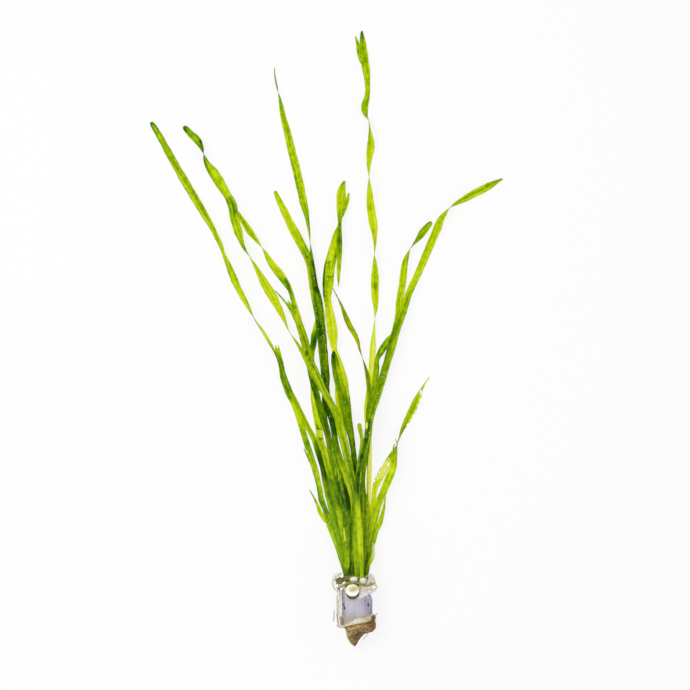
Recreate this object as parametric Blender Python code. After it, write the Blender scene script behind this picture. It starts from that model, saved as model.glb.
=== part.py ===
"""A vallisneria lying on a surface: ribbon leaves, their crown, and the small sleeve pot of wool and roots.

Metres, +Z up. The origin is the middle of the pot's resting face, +Y runs from the pot to the leaf tips, and
the plant is seen from above as in the photograph. The leaves are laid one on another from the lowest up.
"""

import math

import bmesh
import bpy
import numpy as np
from mathutils import Vector

MM = 0.001

# The plant is about 455 mm long over 615 pixels of the photograph, and its blades are 6 to 8 mm wide
PIXEL = 0.74 * MM
POT_CENTRE = (357.0, 607.0)

# Blades: lens-shaped in section, thicker at the base, laid with an air gap over what lies below
BLADE_THICKNESS = 0.5 * MM
BASE_THICKNESS = 0.6 * MM
THICK_LENGTH = 60 * MM
LAY_GAP = 0.3 * MM
LAY_CELL = 0.5 * MM
LAY_STEP = 1.0 * MM
LAY_REACH = 16 * MM
LOWEST_BASE = 4.5 * MM
HIGHEST_BASE = 17 * MM
FALL_LENGTH = 85 * MM
FIELD_MARGIN = 20 * MM
RIB_SPACING = 17 * MM
RIB_TURN = math.radians(30)
RIB_BEND = math.radians(16)
NARROWEST_BLADE = 0.5 * MM

# The sleeve pot lies on one of its flat sides, its mouth towards the leaves
POT_WIDTH = 23 * MM
POT_CORNER = 3.2 * MM
POT_WALL = 0.8 * MM
POT_MOUTH = 12.6 * MM
POT_SHOULDER = 5.5 * MM
SHOULDER_WIDTH = 3.0 * MM
POT_LEFT_END = -13.0 * MM
POT_MIDDLE_END = -7.0 * MM
POT_RIGHT_END = -4.6 * MM
CORNER_STEPS = 4

# Neighbouring solids keep this gap
GAP = 0.3 * MM
CENTRE_HEIGHT = POT_WIDTH / 2

# Each leaf from its base to its tip: photograph pixels (x, y) on its centre line and the width seen there, in
# pixels. A width of 0 marks a twist, where the blade is seen on its edge. The list runs from the lowest up.
LEAVES = {
    "leaf_01": [
        (345.5, 574, 4), (342.6, 563, 4.5), (339, 551, 5), (334, 538, 5), (328.8, 526, 5), (324.4, 519, 4.8),
        (320, 512, 4.5), (317.5, 505.5, 3), (314.5, 499, 1.8), (309.5, 490, 1),
    ],
    "leaf_02": [
        (366.6, 574, 4), (369.8, 555, 5), (373.2, 542, 4.8), (376.8, 530, 4.8), (380, 523, 5),
        (382, 516, 4.5), (384, 508, 3), (385.5, 499, 1.8), (386.5, 490, 1),
    ],
    "leaf_03": [
        (362.6, 574, 4.5), (366, 555, 5), (368, 535, 5), (368.6, 515, 4.6), (368.4, 500, 4.2),
        (368.7, 490, 4.4), (369.2, 478, 5), (369.5, 460, 5), (369.3, 442, 5), (367.5, 425, 5),
        (366.5, 408, 5), (368.5, 394, 5), (370.2, 381, 5.5), (371.5, 369, 6), (372.5, 355, 6.5),
        (373, 344, 5.5), (374, 331, 3), (375, 318, 0), (375.5, 307, 5), (375.2, 299, 7), (375, 289, 7.8),
        (375, 279, 8), (375, 270, 6), (374.8, 262, 3.5), (374.5, 255, 0), (375, 243, 3), (374.2, 230, 6.5),
        (372.5, 219, 8.5), (371, 209, 8), (370, 199, 7), (369.5, 189, 4.5), (369, 177, 0), (369, 165, 4),
        (369.6, 156, 6.5), (370.6, 148, 7.5), (371, 142, 6.5), (370.5, 135, 4), (370, 129, 1.5),
        (368.6, 120, 0), (366, 115, 4), (364.8, 110, 7.2), (365, 105, 7), (366.8, 98, 6),
        (367.8, 91, 5.5), (367.6, 84, 5.6), (366.8, 74, 6.6), (365.3, 64, 8), (364, 54, 8), (363, 44, 7),
        (362.2, 36, 4.5), (361.8, 30, 1.5),
    ],
    "leaf_04": [
        (366.2, 574, 4), (368, 555, 5), (370, 535, 5), (371.4, 520, 5), (372.4, 510, 4.8), (373.6, 500, 5.2),
        (375, 489, 6), (378.5, 480, 7.8), (382.6, 472.1, 7.6), (387.2, 464.3, 7.4), (391.1, 456.6, 5.5),
        (394, 451, 3.4), (396.5, 446.5, 1.2),
    ],
    "leaf_05": [
        (345.5, 574, 4.5), (342.4, 562, 5.5), (338.6, 549, 6), (333.6, 534, 6.5), (329, 521, 6),
        (325.4, 510, 5.4), (321.4, 500, 6), (319.8, 490, 5.6), (317.6, 480, 5.6), (315, 470, 6),
        (311.9, 460, 6.2), (308.7, 450, 6.4), (305.4, 440, 6.3), (302.2, 429, 6), (298.5, 417, 6),
        (294, 404, 6), (288, 392.4, 6), (283.1, 378.3, 5.9), (281, 365, 5.5), (278, 353, 5.8), (276.8, 345, 3.5),
    ],
    "leaf_06": [
        (346, 574, 4.5), (344, 558, 6), (340.4, 540, 7), (335.6, 523, 7), (333, 512, 7.2), (330, 500, 7.4),
        (327.6, 490, 7), (325.4, 480, 6.8), (323.4, 470, 6), (320.6, 460, 6.2), (317.8, 450, 6.4),
        (314.5, 440, 5.8), (308, 427, 5), (300, 410, 4.6), (290.9, 392.4, 4), (283.4, 373.3, 3.6), (276.5, 355, 2.4),
        (271, 345, 2.6), (266, 336.5, 3), (261, 328.5, 2), (254, 318, 0), (250, 310.5, 3), (246, 303, 4.4),
        (240.5, 293, 6.2), (236, 284, 7), (231.3, 273, 6.4), (227.3, 263, 5.2), (223.4, 254.2, 3),
        (220.8, 246, 4.4), (217, 238, 5), (212.6, 229, 5.4), (204.8, 215, 7), (195.8, 200, 8), (184, 180, 8),
        (167.5, 151, 7), (160, 137, 6.4), (154, 127, 5.6), (150.5, 121.5, 3.4),
    ],
    "leaf_07": [
        (362.4, 574, 4.5), (364.2, 562, 6), (367, 549, 7.5), (370.3, 535, 8), (373.4, 522, 8), (377, 510, 8),
        (380.5, 500, 8), (383.5, 491.6, 7.3), (386.3, 484.6, 7.3), (389.5, 477, 8), (392.8, 468.5, 7.2),
        (394.2, 460, 6), (395.6, 452, 4), (397, 445, 0), (399.2, 439, 1.6), (402, 431.5, 3.4),
        (405, 425, 5.4), (409, 416.5, 7), (413, 409, 7.6), (416.5, 401, 7.2), (419.5, 395, 5.4),
        (422, 389, 2.6), (425, 383.5, 1.4), (430, 377, 0.8),
    ],
    "torn_stub": [
        (366.5, 573, 3), (369, 567, 3.6), (371.5, 561, 4.2), (373.4, 554.5, 3.6), (373.6, 548, 2.4),
        (372.6, 543, 1.2),
    ],
    "leaf_08": [
        (350.5, 574, 4.5), (347.6, 558, 6), (344.6, 540, 6.8), (341.2, 520, 7.4), (339, 508, 7.8),
        (337.2, 500, 7.8), (335, 490, 7.6), (332, 480, 7.2), (329, 470, 6.8), (326.2, 460, 6.6),
        (323.9, 450, 6.6), (320.4, 440.2, 6.6), (319.1, 430.2, 7.4), (317.2, 420.1, 6.4), (314.5, 405.2, 6.2),
        (313.6, 398, 6), (313.1, 388, 5.6), (312, 376, 5.4), (312, 364, 5.2), (312, 352, 5.2),
        (313.3, 344, 6.2), (314.4, 336, 7), (316, 328, 6.4), (318, 318, 5), (319.6, 308, 2.4),
    ],
    "leaf_09": [
        (357, 574, 4.5), (359, 550, 5), (360, 525, 5), (361.3, 500, 5), (363.2, 480, 5), (366, 460, 5),
        (368, 440, 5), (369.4, 420, 4.6), (369.6, 402, 4.2), (368.4, 384, 4), (367, 374, 3.5),
        (365, 366, 2.5), (362, 357, 0), (359.2, 348.7, 2.4), (357.6, 341.5, 3.6), (354.4, 334, 5),
        (349.9, 326.3, 5.4), (346.5, 318.6, 5.5), (343.6, 311, 3.6), (341, 304.5, 2.4), (338.6, 299.5, 1.2),
        (335.8, 294, 1.2), (333, 288, 0.8),
    ],
    "leaf_10": [
        (351, 574, 4.5), (350, 545, 7), (348.8, 520, 8), (347.4, 503, 8), (344, 490, 8), (341, 480, 7.8),
        (337.8, 470, 7.4), (334.8, 460, 7), (331.6, 450, 6.6), (328.8, 440, 6.4), (326.6, 430, 6.2),
        (324.6, 420, 6), (324.2, 410, 6), (325, 400, 6.4), (325.4, 390, 7), (326, 380, 7.4),
        (324.6, 360, 7.2), (323.2, 340, 7), (320.9, 320, 6.8), (319.2, 300, 6.4), (316, 285, 5.6),
        (313.8, 270, 4.8), (311.8, 257, 3.6), (310, 242, 0), (309, 230, 2.5), (307.5, 220, 4.2),
        (306, 212, 6), (304, 204.5, 7.2), (301, 190, 8), (296.5, 170, 8.2), (291.5, 150, 8), (287, 131, 7.2),
        (284, 120, 6), (281.5, 108, 4.8), (280, 100, 3), (278, 92, 0), (276.4, 84, 1.6), (275, 77, 1.5),
        (274.3, 67, 0.8),
    ],
    "leaf_12": [
        (362, 574, 4.5), (363.6, 548, 6), (365.2, 525, 6.5), (365.8, 508, 6.6), (364.6, 495, 6.5),
        (363.6, 480, 6), (364.4, 468, 6), (365.2, 458, 6), (366.8, 441, 6.2), (368.2, 425, 6), (369, 412, 6),
        (371, 399, 6), (375, 382, 6), (376.6, 368, 5.6), (377.4, 359, 4.4), (381.1, 351.6, 7), (385, 345.2, 7),
        (388.4, 340, 6.2), (392, 335, 3),
    ],
    "leaf_13": [
        (361.6, 574, 4.5), (361, 550, 6), (360.8, 525, 6.5), (361.2, 500, 6.5), (362.2, 476, 6.5),
        (364, 460, 6.5), (366, 446, 6.5), (368, 432, 6.5), (369.6, 420, 6.5), (373, 408, 6.5), (377, 395, 6.5),
        (381, 382, 6.5), (384.4, 370, 6.5), (388.4, 355, 6.5), (392, 341, 6.5), (396, 326, 6.2),
        (398.2, 315, 6), (399.2, 302, 6.6), (401.5, 290, 7), (403, 280, 7.4), (404, 270, 7), (405.2, 262, 6),
        (407, 256, 4), (410, 249, 0), (414, 243, 3), (418, 238, 6), (423, 232, 7), (427.5, 226.5, 6.4),
        (431.8, 221.5, 3.4),
    ],
    "leaf_14": [
        (356.6, 574, 4), (354.8, 545, 4.5), (354, 515, 5), (353, 495, 5), (351, 476, 5), (348.8, 460, 5),
        (346, 445, 4.4), (344.2, 432, 4), (343, 425, 4.2), (341.8, 420, 4.6), (340.8, 415, 4.8),
        (339.6, 410, 5), (338, 400, 5.6), (337.2, 388, 4.6), (337.8, 378, 3.6), (338.6, 370, 1.5),
    ],
    "leaf_15": [
        (356.6, 574, 4.5), (356.4, 550, 7), (357, 525, 8), (356.8, 500, 8), (356, 484, 7), (355.4, 471, 6),
        (354.6, 459, 5), (353.6, 450, 4.8), (352.2, 440, 5.4), (350.4, 430, 6.2), (349, 420, 6.8),
        (347.8, 410, 7.2), (346.6, 400, 7.4), (345.2, 390, 7.4), (343.8, 380, 7.6), (340.2, 367, 7),
        (336.4, 355.5, 5.4), (334, 348, 6), (333.2, 340, 8.6), (332.4, 332, 11), (331.4, 323.5, 10.2),
        (329.8, 315, 9.6), (328.4, 306, 7.8), (327.2, 298, 7), (327.8, 286, 11.8), (329.3, 268.2, 11.2),
        (331, 255, 9.6), (334, 243, 8), (337, 232, 5), (339.5, 222, 0), (342, 214, 4), (345, 206, 5),
        (347.2, 200, 4.4), (349, 192.5, 1.5),
    ],
    "leaf_16": [
        (351, 574, 4.5), (353, 550, 7), (354.8, 525, 8), (355, 500, 8.2), (355, 485, 7.4), (354.8, 471, 6.4),
        (354, 459, 5.2), (353, 450, 5), (351.6, 440, 5.8), (349.6, 430, 7), (347.6, 420, 8.2),
        (345.6, 410, 8.8), (343.4, 399, 9), (340.2, 388, 8.8), (337.4, 377, 8.2), (334.8, 362.5, 7.2),
        (333.2, 350.8, 4.2),
    ],
    "leaf_17": [
        (346.2, 574, 4.5), (348, 550, 7), (346.8, 530, 7.6), (346.6, 514, 8), (344, 502, 8), (341, 490, 8),
        (338.4, 480, 8), (335.8, 470, 8), (333.2, 460, 7.4), (330.7, 450, 7), (328.8, 440, 6.2),
        (326.6, 430, 7.2), (323.6, 420, 7), (320.6, 410, 6.6), (318, 400, 6.2), (315.6, 390, 7),
        (312.6, 378, 7.4), (308.6, 362, 6), (305, 350, 4.6), (300.4, 334, 4), (297, 322.5, 3.8),
        (293.6, 315.5, 3.4), (290, 309, 3), (286, 303, 2.4), (280, 296, 1.6), (275, 290.5, 0.8),
    ],
    "leaf_18": [
        (362, 574, 4), (359.4, 550, 4.6), (357.8, 525, 5), (357, 500, 5), (358, 485, 4.4), (358.8, 470, 4.6),
        (359.6, 460, 4.6), (360.6, 453, 4), (361.4, 447, 3.6), (362, 440, 3.4), (361.3, 435, 4),
        (360, 429, 4.4), (359, 423, 4.2),
    ],
    "leaf_11": [
        (359.4, 574, 4.4), (358.6, 560, 5), (357.8, 548, 7), (357, 535, 7.6), (356, 520, 7.8),
        (354.8, 508, 7.8), (353.4, 497, 7.2), (350.8, 488, 7), (347.6, 479, 6.8), (344.8, 471, 6.8),
        (341.3, 462, 6.8), (338, 452, 6.2), (335.4, 441, 6.2), (333.8, 430, 6), (332, 420, 6.4),
        (329.2, 410, 7.2), (326.8, 400, 7.8), (325.8, 390, 8), (325.2, 380, 7.8), (324.6, 369, 8.2),
        (322.6, 350, 8.4), (320.8, 331, 8.4), (318.6, 315, 8.2), (315.4, 300, 8), (312.2, 281, 7.6),
        (309.7, 265, 6.8), (307, 256, 8), (303, 248, 8.4), (298, 238, 9), (292.6, 228.2, 8.2), (287.4, 217.8, 8),
        (282.6, 207.7, 7), (278.4, 199.2, 5.8), (274.6, 190.4, 3.4),
    ],
    "leaf_19": [
        (357, 574, 4.5), (357, 545, 6), (356.4, 520, 6.6), (356, 502, 5.6), (354.2, 490, 5.6),
        (352.2, 480, 6), (350.2, 470, 6.6), (347.8, 460, 7.4), (345.6, 450, 7.8), (343.5, 440, 8),
        (340.8, 430, 8.2), (338.2, 420, 7.2), (334.4, 411, 6.2), (329.6, 401, 6.6), (323.4, 390, 7),
        (314.4, 374, 8.2), (309, 364, 7), (304, 354.5, 5.2), (298.8, 346, 2.8), (294.8, 340, 1.8),
        (290, 333, 0), (284.2, 320, 3.5), (280, 311, 6.4), (275.4, 302, 8.2), (271, 294, 9),
        (265.8, 285.5, 8.2), (257, 269.5, 5), (253.2, 262.5, 2.4), (250, 257, 0), (243.2, 246, 4),
        (241, 240, 5.6), (237.7, 230.2, 8.8), (234.6, 218.8, 9.2), (231.6, 203.6, 9.2), (228, 196.5, 7.4),
        (223.8, 189.6, 8.9), (219, 181.5, 10), (213.6, 173, 10), (207, 163, 5), (204.8, 157.5, 3.2),
        (203.6, 153.6, 0), (202.3, 150, 3.4), (200.6, 145.6, 5.2), (197, 140, 7.4), (190, 133.2, 7),
        (185.6, 128.2, 6), (183.2, 125.8, 3.8),
    ],
    "leaf_20": [
        (357, 574, 4.5), (355.6, 545, 7), (355.4, 520, 7.4), (356.4, 500, 7.4), (358.4, 478, 7.2),
        (361, 463, 7), (364, 450, 7), (368.2, 435, 7.2), (369.4, 421, 7.2), (372.6, 409.5, 7.4),
        (376.9, 396.5, 7.6), (381.4, 382, 7.6), (385.4, 368, 7.6), (389.2, 356, 7.4), (393.2, 343, 7.4),
        (395.4, 334, 7.2), (399.4, 322, 7.6), (402.6, 312.5, 7.8), (405.6, 303, 7.6), (408.4, 294.5, 7),
        (412.4, 285.5, 7), (417, 276, 7), (424.3, 259.2, 7.4), (428.6, 249.1, 7.8), (432.2, 240.6, 8),
        (435.9, 231.7, 8), (438.8, 224.8, 7.8), (441.2, 219, 6.4), (444.8, 214, 4), (450, 207.5, 0),
        (458.6, 202, 5), (466, 198, 6.2), (474, 193.5, 7), (482.2, 189.5, 7.8), (490.2, 185.2, 7.2), (497, 181.5, 4),
        (503, 178.5, 1.4),
    ],
    "leaf_21": [
        (361.6, 574, 4.4), (361.2, 560, 4.6), (360.4, 545, 5.4), (359.6, 530, 6), (358.6, 515, 5.8),
        (356.9, 500, 5.4), (355, 490, 5.4), (352.9, 480, 6), (350.6, 470, 6.8), (348.3, 460, 7.4),
        (346, 450, 7.6), (343.9, 440, 8), (341.2, 431, 8.8), (338.8, 421, 8), (336.4, 414, 6.6),
        (333.2, 407, 6.6), (329.2, 400, 7.4), (324.2, 391, 7.4), (321, 383, 7), (317.8, 376, 6.6),
        (315, 370, 6.8), (312.4, 365, 7), (310.2, 360, 7.2), (308.7, 355, 7.4), (307.4, 350, 7.6),
        (304.8, 340, 7.6), (301.3, 330, 7.4), (298, 320, 6.8), (295.4, 310, 6), (292.9, 300, 5),
        (291.2, 294, 4.4), (289, 288, 4.2), (285.2, 282, 7), (280.4, 275, 8), (274, 267, 7.2),
        (269, 259.5, 6), (264.6, 251.5, 2.4), (262, 247.5, 0), (257.6, 241.6, 3.8), (252.4, 235, 5.8),
        (248.2, 229, 6.6), (244.2, 223, 6), (240.4, 217, 4.4), (236.8, 211.5, 3.4),
    ],
    "broken_blade": [
        (338.5, 286, 0.8), (338.5, 275.5, 3.2), (339, 262.5, 5), (339.4, 250, 6), (339.2, 236, 5.6),
        (339.6, 223.5, 0), (340.2, 213, 6.4), (341, 205, 9.4), (341.2, 196, 9.6), (342, 188.5, 7.6),
        (343.6, 183.5, 4.4), (344.8, 180.5, 1.6),
    ],
}
LOOSE = {"broken_blade"}


def smooth_curve(knots, values, at):
    """Values at the places asked for, on a smooth curve through (knots, values)."""
    knots = np.asarray(knots, float)
    values = np.asarray(values, float)
    slopes = np.gradient(values, knots, axis=0)
    index = np.clip(np.searchsorted(knots, at, side="right") - 1, 0, len(knots) - 2)
    span = knots[index + 1] - knots[index]
    t = (at - knots[index]) / span
    if values.ndim > 1:
        t = t[:, None]
        span = span[:, None]
    return (
        values[index] * (1 + 2 * t) * (1 - t) ** 2
        + slopes[index] * span * t * (1 - t) ** 2
        + values[index + 1] * t * t * (3 - 2 * t)
        - slopes[index + 1] * span * t * t * (1 - t)
    )


def blade_width_and_twist(knots, seen):
    """The real width and the twist at each station. Between two twists the blade turns by half a turn."""
    twists = [i for i, width in enumerate(seen) if width == 0]
    starts = [0, *(i + 1 for i in twists)]
    ends = [*twists, len(seen)]
    widest = [start + int(np.argmax(seen[start:end])) for start, end in zip(starts, ends)]
    width = np.interp(knots, [knots[i] for i in widest], [seen[i] for i in widest])
    width[: widest[0]] = seen[: widest[0]]
    width[widest[-1] :] = seen[widest[-1] :]
    width = np.maximum(width, seen)
    lean = np.arccos(np.clip(np.asarray(seen) / width, 0, 1))
    twist = np.zeros(len(seen))
    for half_turn, (start, end, most) in enumerate(zip(starts, ends, widest)):
        for i in range(start, end):
            twist[i] = half_turn * math.pi + (lean[i] if i > most else -lean[i])
    for half_turn, i in enumerate(twists):
        twist[i] = (half_turn + 0.5) * math.pi
    return width, twist


def softened(values, reach, rising):
    """A weighted mean over reach steps each way. If rising, it stays above the values everywhere."""
    padded = np.pad(values, reach, mode="edge")
    windows = np.lib.stride_tricks.sliding_window_view(padded, 2 * reach + 1)
    if rising:
        padded = np.pad(windows.max(axis=1), reach, mode="edge")
        windows = np.lib.stride_tricks.sliding_window_view(padded, 2 * reach + 1)
    weights = np.hanning(2 * reach + 3)[1:-1]
    return windows @ (weights / weights.sum())


def to_plan(stations):
    """Pixels of the photograph to metres in plan."""
    return np.array([((x - POT_CENTRE[0]) * PIXEL, (POT_CENTRE[1] - y) * PIXEL) for x, y, _ in stations])


class Blade:
    """One leaf as rows sampled along it: place, heading, width, twist and thickness."""

    def __init__(self, name, stations, left_handed):
        self.name = name
        plan = to_plan(stations)
        knots = np.concatenate([[0], np.cumsum(np.linalg.norm(np.diff(plan, axis=0), axis=1))])
        self.count = int(knots[-1] / LAY_STEP) + 2
        self.along = np.linspace(0, knots[-1], self.count)
        self.plan = smooth_curve(knots, plan, self.along)
        width, twist = blade_width_and_twist(knots, [w for _, _, w in stations])
        self.width = softened(np.interp(self.along, knots, width), 3, False) * PIXEL
        self.twist = softened(np.interp(self.along, knots, twist), 3, False) * (-1 if left_handed else 1)
        heading = np.gradient(self.plan, axis=0)
        heading /= np.linalg.norm(heading, axis=1)[:, None]
        self.side = np.stack([heading[:, 1], -heading[:, 0]], axis=1)
        thick = np.clip(1 - self.along / THICK_LENGTH, 0, 1)
        self.thickness = BLADE_THICKNESS + (BASE_THICKNESS - BLADE_THICKNESS) * thick
        self.rise = self.width / 2 * np.abs(np.sin(self.twist)) + self.thickness / 2
        self.reach = self.width / 2 * np.abs(np.cos(self.twist)) + self.thickness / 2

    def footprint(self, field, i):
        """The cells of the height field that row i covers."""
        steps = int(2 * self.reach[i] / LAY_CELL) + 3
        across = np.linspace(-self.reach[i], self.reach[i], steps)
        places = self.plan[i] + across[:, None] * self.side[i]
        cells = ((places - field.corner) / LAY_CELL).astype(int)
        return np.concatenate([cells + step for step in ((0, 0), (1, 0), (-1, 0), (0, 1), (0, -1))])

    def lay(self, field, base_height):
        """Sets the heights: the blade rests on what is below it and leaves its crown at base_height."""
        below = np.empty(self.count)
        for i in range(self.count):
            cells = self.footprint(field, i)
            below[i] = field.top[cells[:, 0], cells[:, 1]].max()
        lowest = below + np.where(below > 0, LAY_GAP, 0) + self.rise
        fall = np.clip(self.along / FALL_LENGTH, 0, 1)
        held = base_height * (1 - fall * fall * (3 - 2 * fall))
        self.height = softened(np.maximum(lowest, held), int(LAY_REACH / LAY_STEP), True)
        for i in range(self.count):
            cells = self.footprint(field, i)
            top = self.height[i] + self.rise[i]
            under = field.top[cells[:, 0], cells[:, 1]]
            field.top[cells[:, 0], cells[:, 1]] = np.maximum(under, top)

    def frames(self):
        """Centre, direction across the blade and normal for each row."""
        centre = np.column_stack([self.plan, self.height])
        forward = np.gradient(centre, axis=0)
        forward /= np.linalg.norm(forward, axis=1)[:, None]
        side = np.column_stack([self.side, np.zeros(self.count)])
        upward = np.cross(side, forward)
        cosine = np.cos(self.twist)[:, None]
        sine = np.sin(self.twist)[:, None]
        return centre, side * cosine + upward * sine, upward * cosine - side * sine

    def ribs(self):
        """The rows that the solid keeps: closer together where the blade turns or bends."""
        turn = np.abs(np.diff(self.twist))
        bend = np.linalg.norm(np.diff(self.side, axis=0), axis=1)
        slope = np.gradient(self.height, self.along)
        pitch = np.abs(np.diff(slope))
        cost = np.diff(self.along) / RIB_SPACING + turn / RIB_TURN + (bend + pitch) / RIB_BEND
        total = np.concatenate([[0], np.cumsum(cost)])
        wanted = np.linspace(0, total[-1], max(4, math.ceil(total[-1])))
        return np.unique(np.searchsorted(total, wanted - 1e-9).clip(0, self.count - 1))


class HeightField:
    """The top of what has been laid so far, on a grid over the whole plant."""

    def __init__(self, blades):
        places = np.concatenate([blade.plan for blade in blades])
        self.corner = places.min(axis=0) - FIELD_MARGIN
        self.top = np.zeros(((places.max(axis=0) + FIELD_MARGIN - self.corner) / LAY_CELL).astype(int) + 1)


def material(name, colour, roughness=0.5, alpha=1.0):
    made = bpy.data.materials.new(name)
    made.use_nodes = True
    shader = made.node_tree.nodes["Principled BSDF"]
    shader.inputs["Base Color"].default_value = (*colour, 1)
    shader.inputs["Roughness"].default_value = roughness
    shader.inputs["Metallic"].default_value = 0
    shader.inputs["Alpha"].default_value = alpha
    return made


def add_object(name, points, faces, surface, smooth=True):
    """One closed solid with its faces turned outwards."""
    mesh = bpy.data.meshes.new(name)
    mesh.from_pydata([tuple(point) for point in points], [], faces)
    shape = bmesh.new()
    shape.from_mesh(mesh)
    bmesh.ops.recalc_face_normals(shape, faces=shape.faces)
    shape.to_mesh(mesh)
    shape.free()
    if smooth:
        mesh.shade_smooth()
    mesh.materials.append(surface)
    made = bpy.data.objects.new(name, mesh)
    bpy.context.collection.objects.link(made)
    return made


def skin_rings(rings):
    """Points and faces of a solid through closed rings of equal size, with a cap at each end."""
    size = len(rings[0])
    points = [point for ring in rings for point in ring]
    faces = [
        (row * size + i, row * size + (i + 1) % size, (row + 1) * size + (i + 1) % size, (row + 1) * size + i)
        for row in range(len(rings) - 1)
        for i in range(size)
    ]
    faces.append(tuple(range(size)))
    faces.append(tuple(range(len(points) - size, len(points))))
    return points, faces


def build_blade(blade, surface):
    """A ribbon of triangles. Over and under, the diagonals run alike, so that a twist can't cross them."""
    centre, across, normal = blade.frames()
    points = []
    for i in blade.ribs():
        half = across[i] * max(blade.width[i], NARROWEST_BLADE) / 2
        thick = normal[i] * blade.thickness[i] / 2
        points += [centre[i] + half, centre[i] + thick, centre[i] - half, centre[i] - thick]
    faces = [(0, 1, 2, 3), tuple(range(len(points) - 4, len(points)))]
    for rib in range(0, len(points) - 4, 4):
        for edge in (0, 2):
            for middle in (1, 3):
                faces.append((rib + edge, rib + middle, rib + 4 + middle))
                faces.append((rib + edge, rib + 4 + middle, rib + 4 + edge))
    add_object(blade.name, points, faces, surface)


def rounded_square(width, corner, steps=CORNER_STEPS):
    """Points (x, z) around a rounded square about the pot's axis, with one at its upper middle."""
    reach = width / 2 - corner
    outline = []
    for quarter, (sx, sz) in enumerate(((1, 1), (-1, 1), (-1, -1), (1, -1))):
        for step in range(steps + 1):
            angle = math.pi / 2 * (quarter + step / steps)
            x = sx * reach + corner * math.cos(angle)
            z = CENTRE_HEIGHT + sz * reach + corner * math.sin(angle)
            outline.append((x, z))
        if quarter == 0:
            outline.append((0.0, CENTRE_HEIGHT + width / 2))
    return outline


def mouth_at(x):
    """Where the pot's mouth edge lies at x: its right shoulder is cut back."""
    past = (x - (POT_WIDTH / 2 - SHOULDER_WIDTH)) / SHOULDER_WIDTH
    return POT_MOUTH - (POT_MOUTH - POT_SHOULDER) * min(max(past, 0), 1)


def end_at(x):
    """Where the pot's lower edge lies at x: it is cut on a slant that is steeper at the left."""
    far_end = POT_LEFT_END if x < 0 else POT_RIGHT_END
    return POT_MIDDLE_END + (far_end - POT_MIDDLE_END) * abs(x) / (POT_WIDTH / 2)


def build_pot(surface):
    outer = rounded_square(POT_WIDTH, POT_CORNER)
    inner = rounded_square(POT_WIDTH - 2 * POT_WALL, POT_CORNER - POT_WALL)
    size = len(outer)
    rings = [
        [(x, mouth_at(x), z) for x, z in outer],
        [(x, end_at(x), z) for x, z in outer],
        [(x, end_at(x), z) for x, z in inner],
        [(x, mouth_at(x), z) for x, z in inner],
    ]
    points = [point for ring in rings for point in ring]
    faces = [
        (
            row * size + i,
            row * size + (i + 1) % size,
            (row + 1) % 4 * size + (i + 1) % size,
            (row + 1) % 4 * size + i,
        )
        for row in range(4)
        for i in range(size)
    ]
    add_object("sleeve_pot", points, faces, surface, smooth=False)


# The wool fills the pot and shows below its slanted edge as a band that is wider at the right
WOOL_TOP_INSET = 4.5 * MM
WOOL_LEFT_END = -14.2 * MM
WOOL_RIGHT_END = -9.6 * MM
WOOL_END_WIDTH = 0.97
WOOL_END_HEIGHT = 0.95


def wool_end_at(x):
    return WOOL_LEFT_END + (WOOL_RIGHT_END - WOOL_LEFT_END) * (x / POT_WIDTH + 0.5)


def build_wool(surface):
    fit = POT_WIDTH - 2 * (POT_WALL + GAP)
    outline = rounded_square(fit, POT_CORNER - POT_WALL - GAP)
    rings = [
        [(x, mouth_at(x) - WOOL_TOP_INSET, z) for x, z in outline],
        [(x, end_at(x), z) for x, z in outline],
        [
            (x * WOOL_END_WIDTH, wool_end_at(x), CENTRE_HEIGHT + (z - CENTRE_HEIGHT) * WOOL_END_HEIGHT)
            for x, z in outline
        ],
    ]
    add_object("wool_plug", *skin_rings(rings), surface)


# The root mass below the wool: pixels below its top, its left and right edge in pixels, and half its height
# in millimetres
ROOT_ROWS = [
    (0.0, 343.0, 375.2, 9.6),
    (3.0, 345.2, 376.0, 10.2),
    (6.2, 346.3, 375.6, 9.8),
    (8.6, 347.0, 372.4, 8.8),
    (10.2, 347.5, 364.0, 7.6),
    (13.4, 348.6, 362.0, 6.4),
    (17.0, 350.2, 359.4, 4.4),
    (20.0, 352.0, 356.9, 2.2),
    (22.0, 353.7, 355.1, 0.8),
]
ROOT_TOP_ROW = 623.6
ROOT_SIDES = 14
ROOT_SLOPE = 0.2
ROOT_LUMP = 0.05


def build_roots(surface):
    """Rings of a lumpy mass that ends in a point. Its upper end is slanted as the wool is."""
    rings = []
    last = ROOT_ROWS[-1][0]
    for down, left, right, half_height in ROOT_ROWS:
        middle = ((left + right) / 2 - POT_CENTRE[0]) * PIXEL
        half = (right - left) / 2 * PIXEL
        level = (POT_CENTRE[1] - ROOT_TOP_ROW - down) * PIXEL
        slope = ROOT_SLOPE * (1 - down / last) ** 2
        ring = []
        for i in range(ROOT_SIDES):
            angle = 2 * math.pi * i / ROOT_SIDES
            lump = 1 - ROOT_LUMP * (1 + math.sin(3 * angle + down))
            x = middle + half * lump * math.cos(angle)
            z = CENTRE_HEIGHT + half_height * MM * lump * math.sin(angle)
            ring.append((x, level + slope * x, z))
        rings.append(ring)
    add_object("root_ball", *skin_rings(rings), surface)


# The crown: a short olive stem that every leaf grows from, down in the pot's mouth
CROWN_ROWS = [(575.4, 9.4, 8.2), (578.0, 9.9, 8.6), (583.0, 9.0, 8.2), (588.5, 7.8, 7.2), (593.4, 6.2, 6.0)]
CROWN_MIDDLE = 355.6
CROWN_SIDES = 20
CROWN_SQUARENESS = 0.65


def squarish(share):
    """Pushes a circle's sine or cosine towards a rounded square."""
    return math.copysign(abs(share) ** CROWN_SQUARENESS, share)


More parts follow.
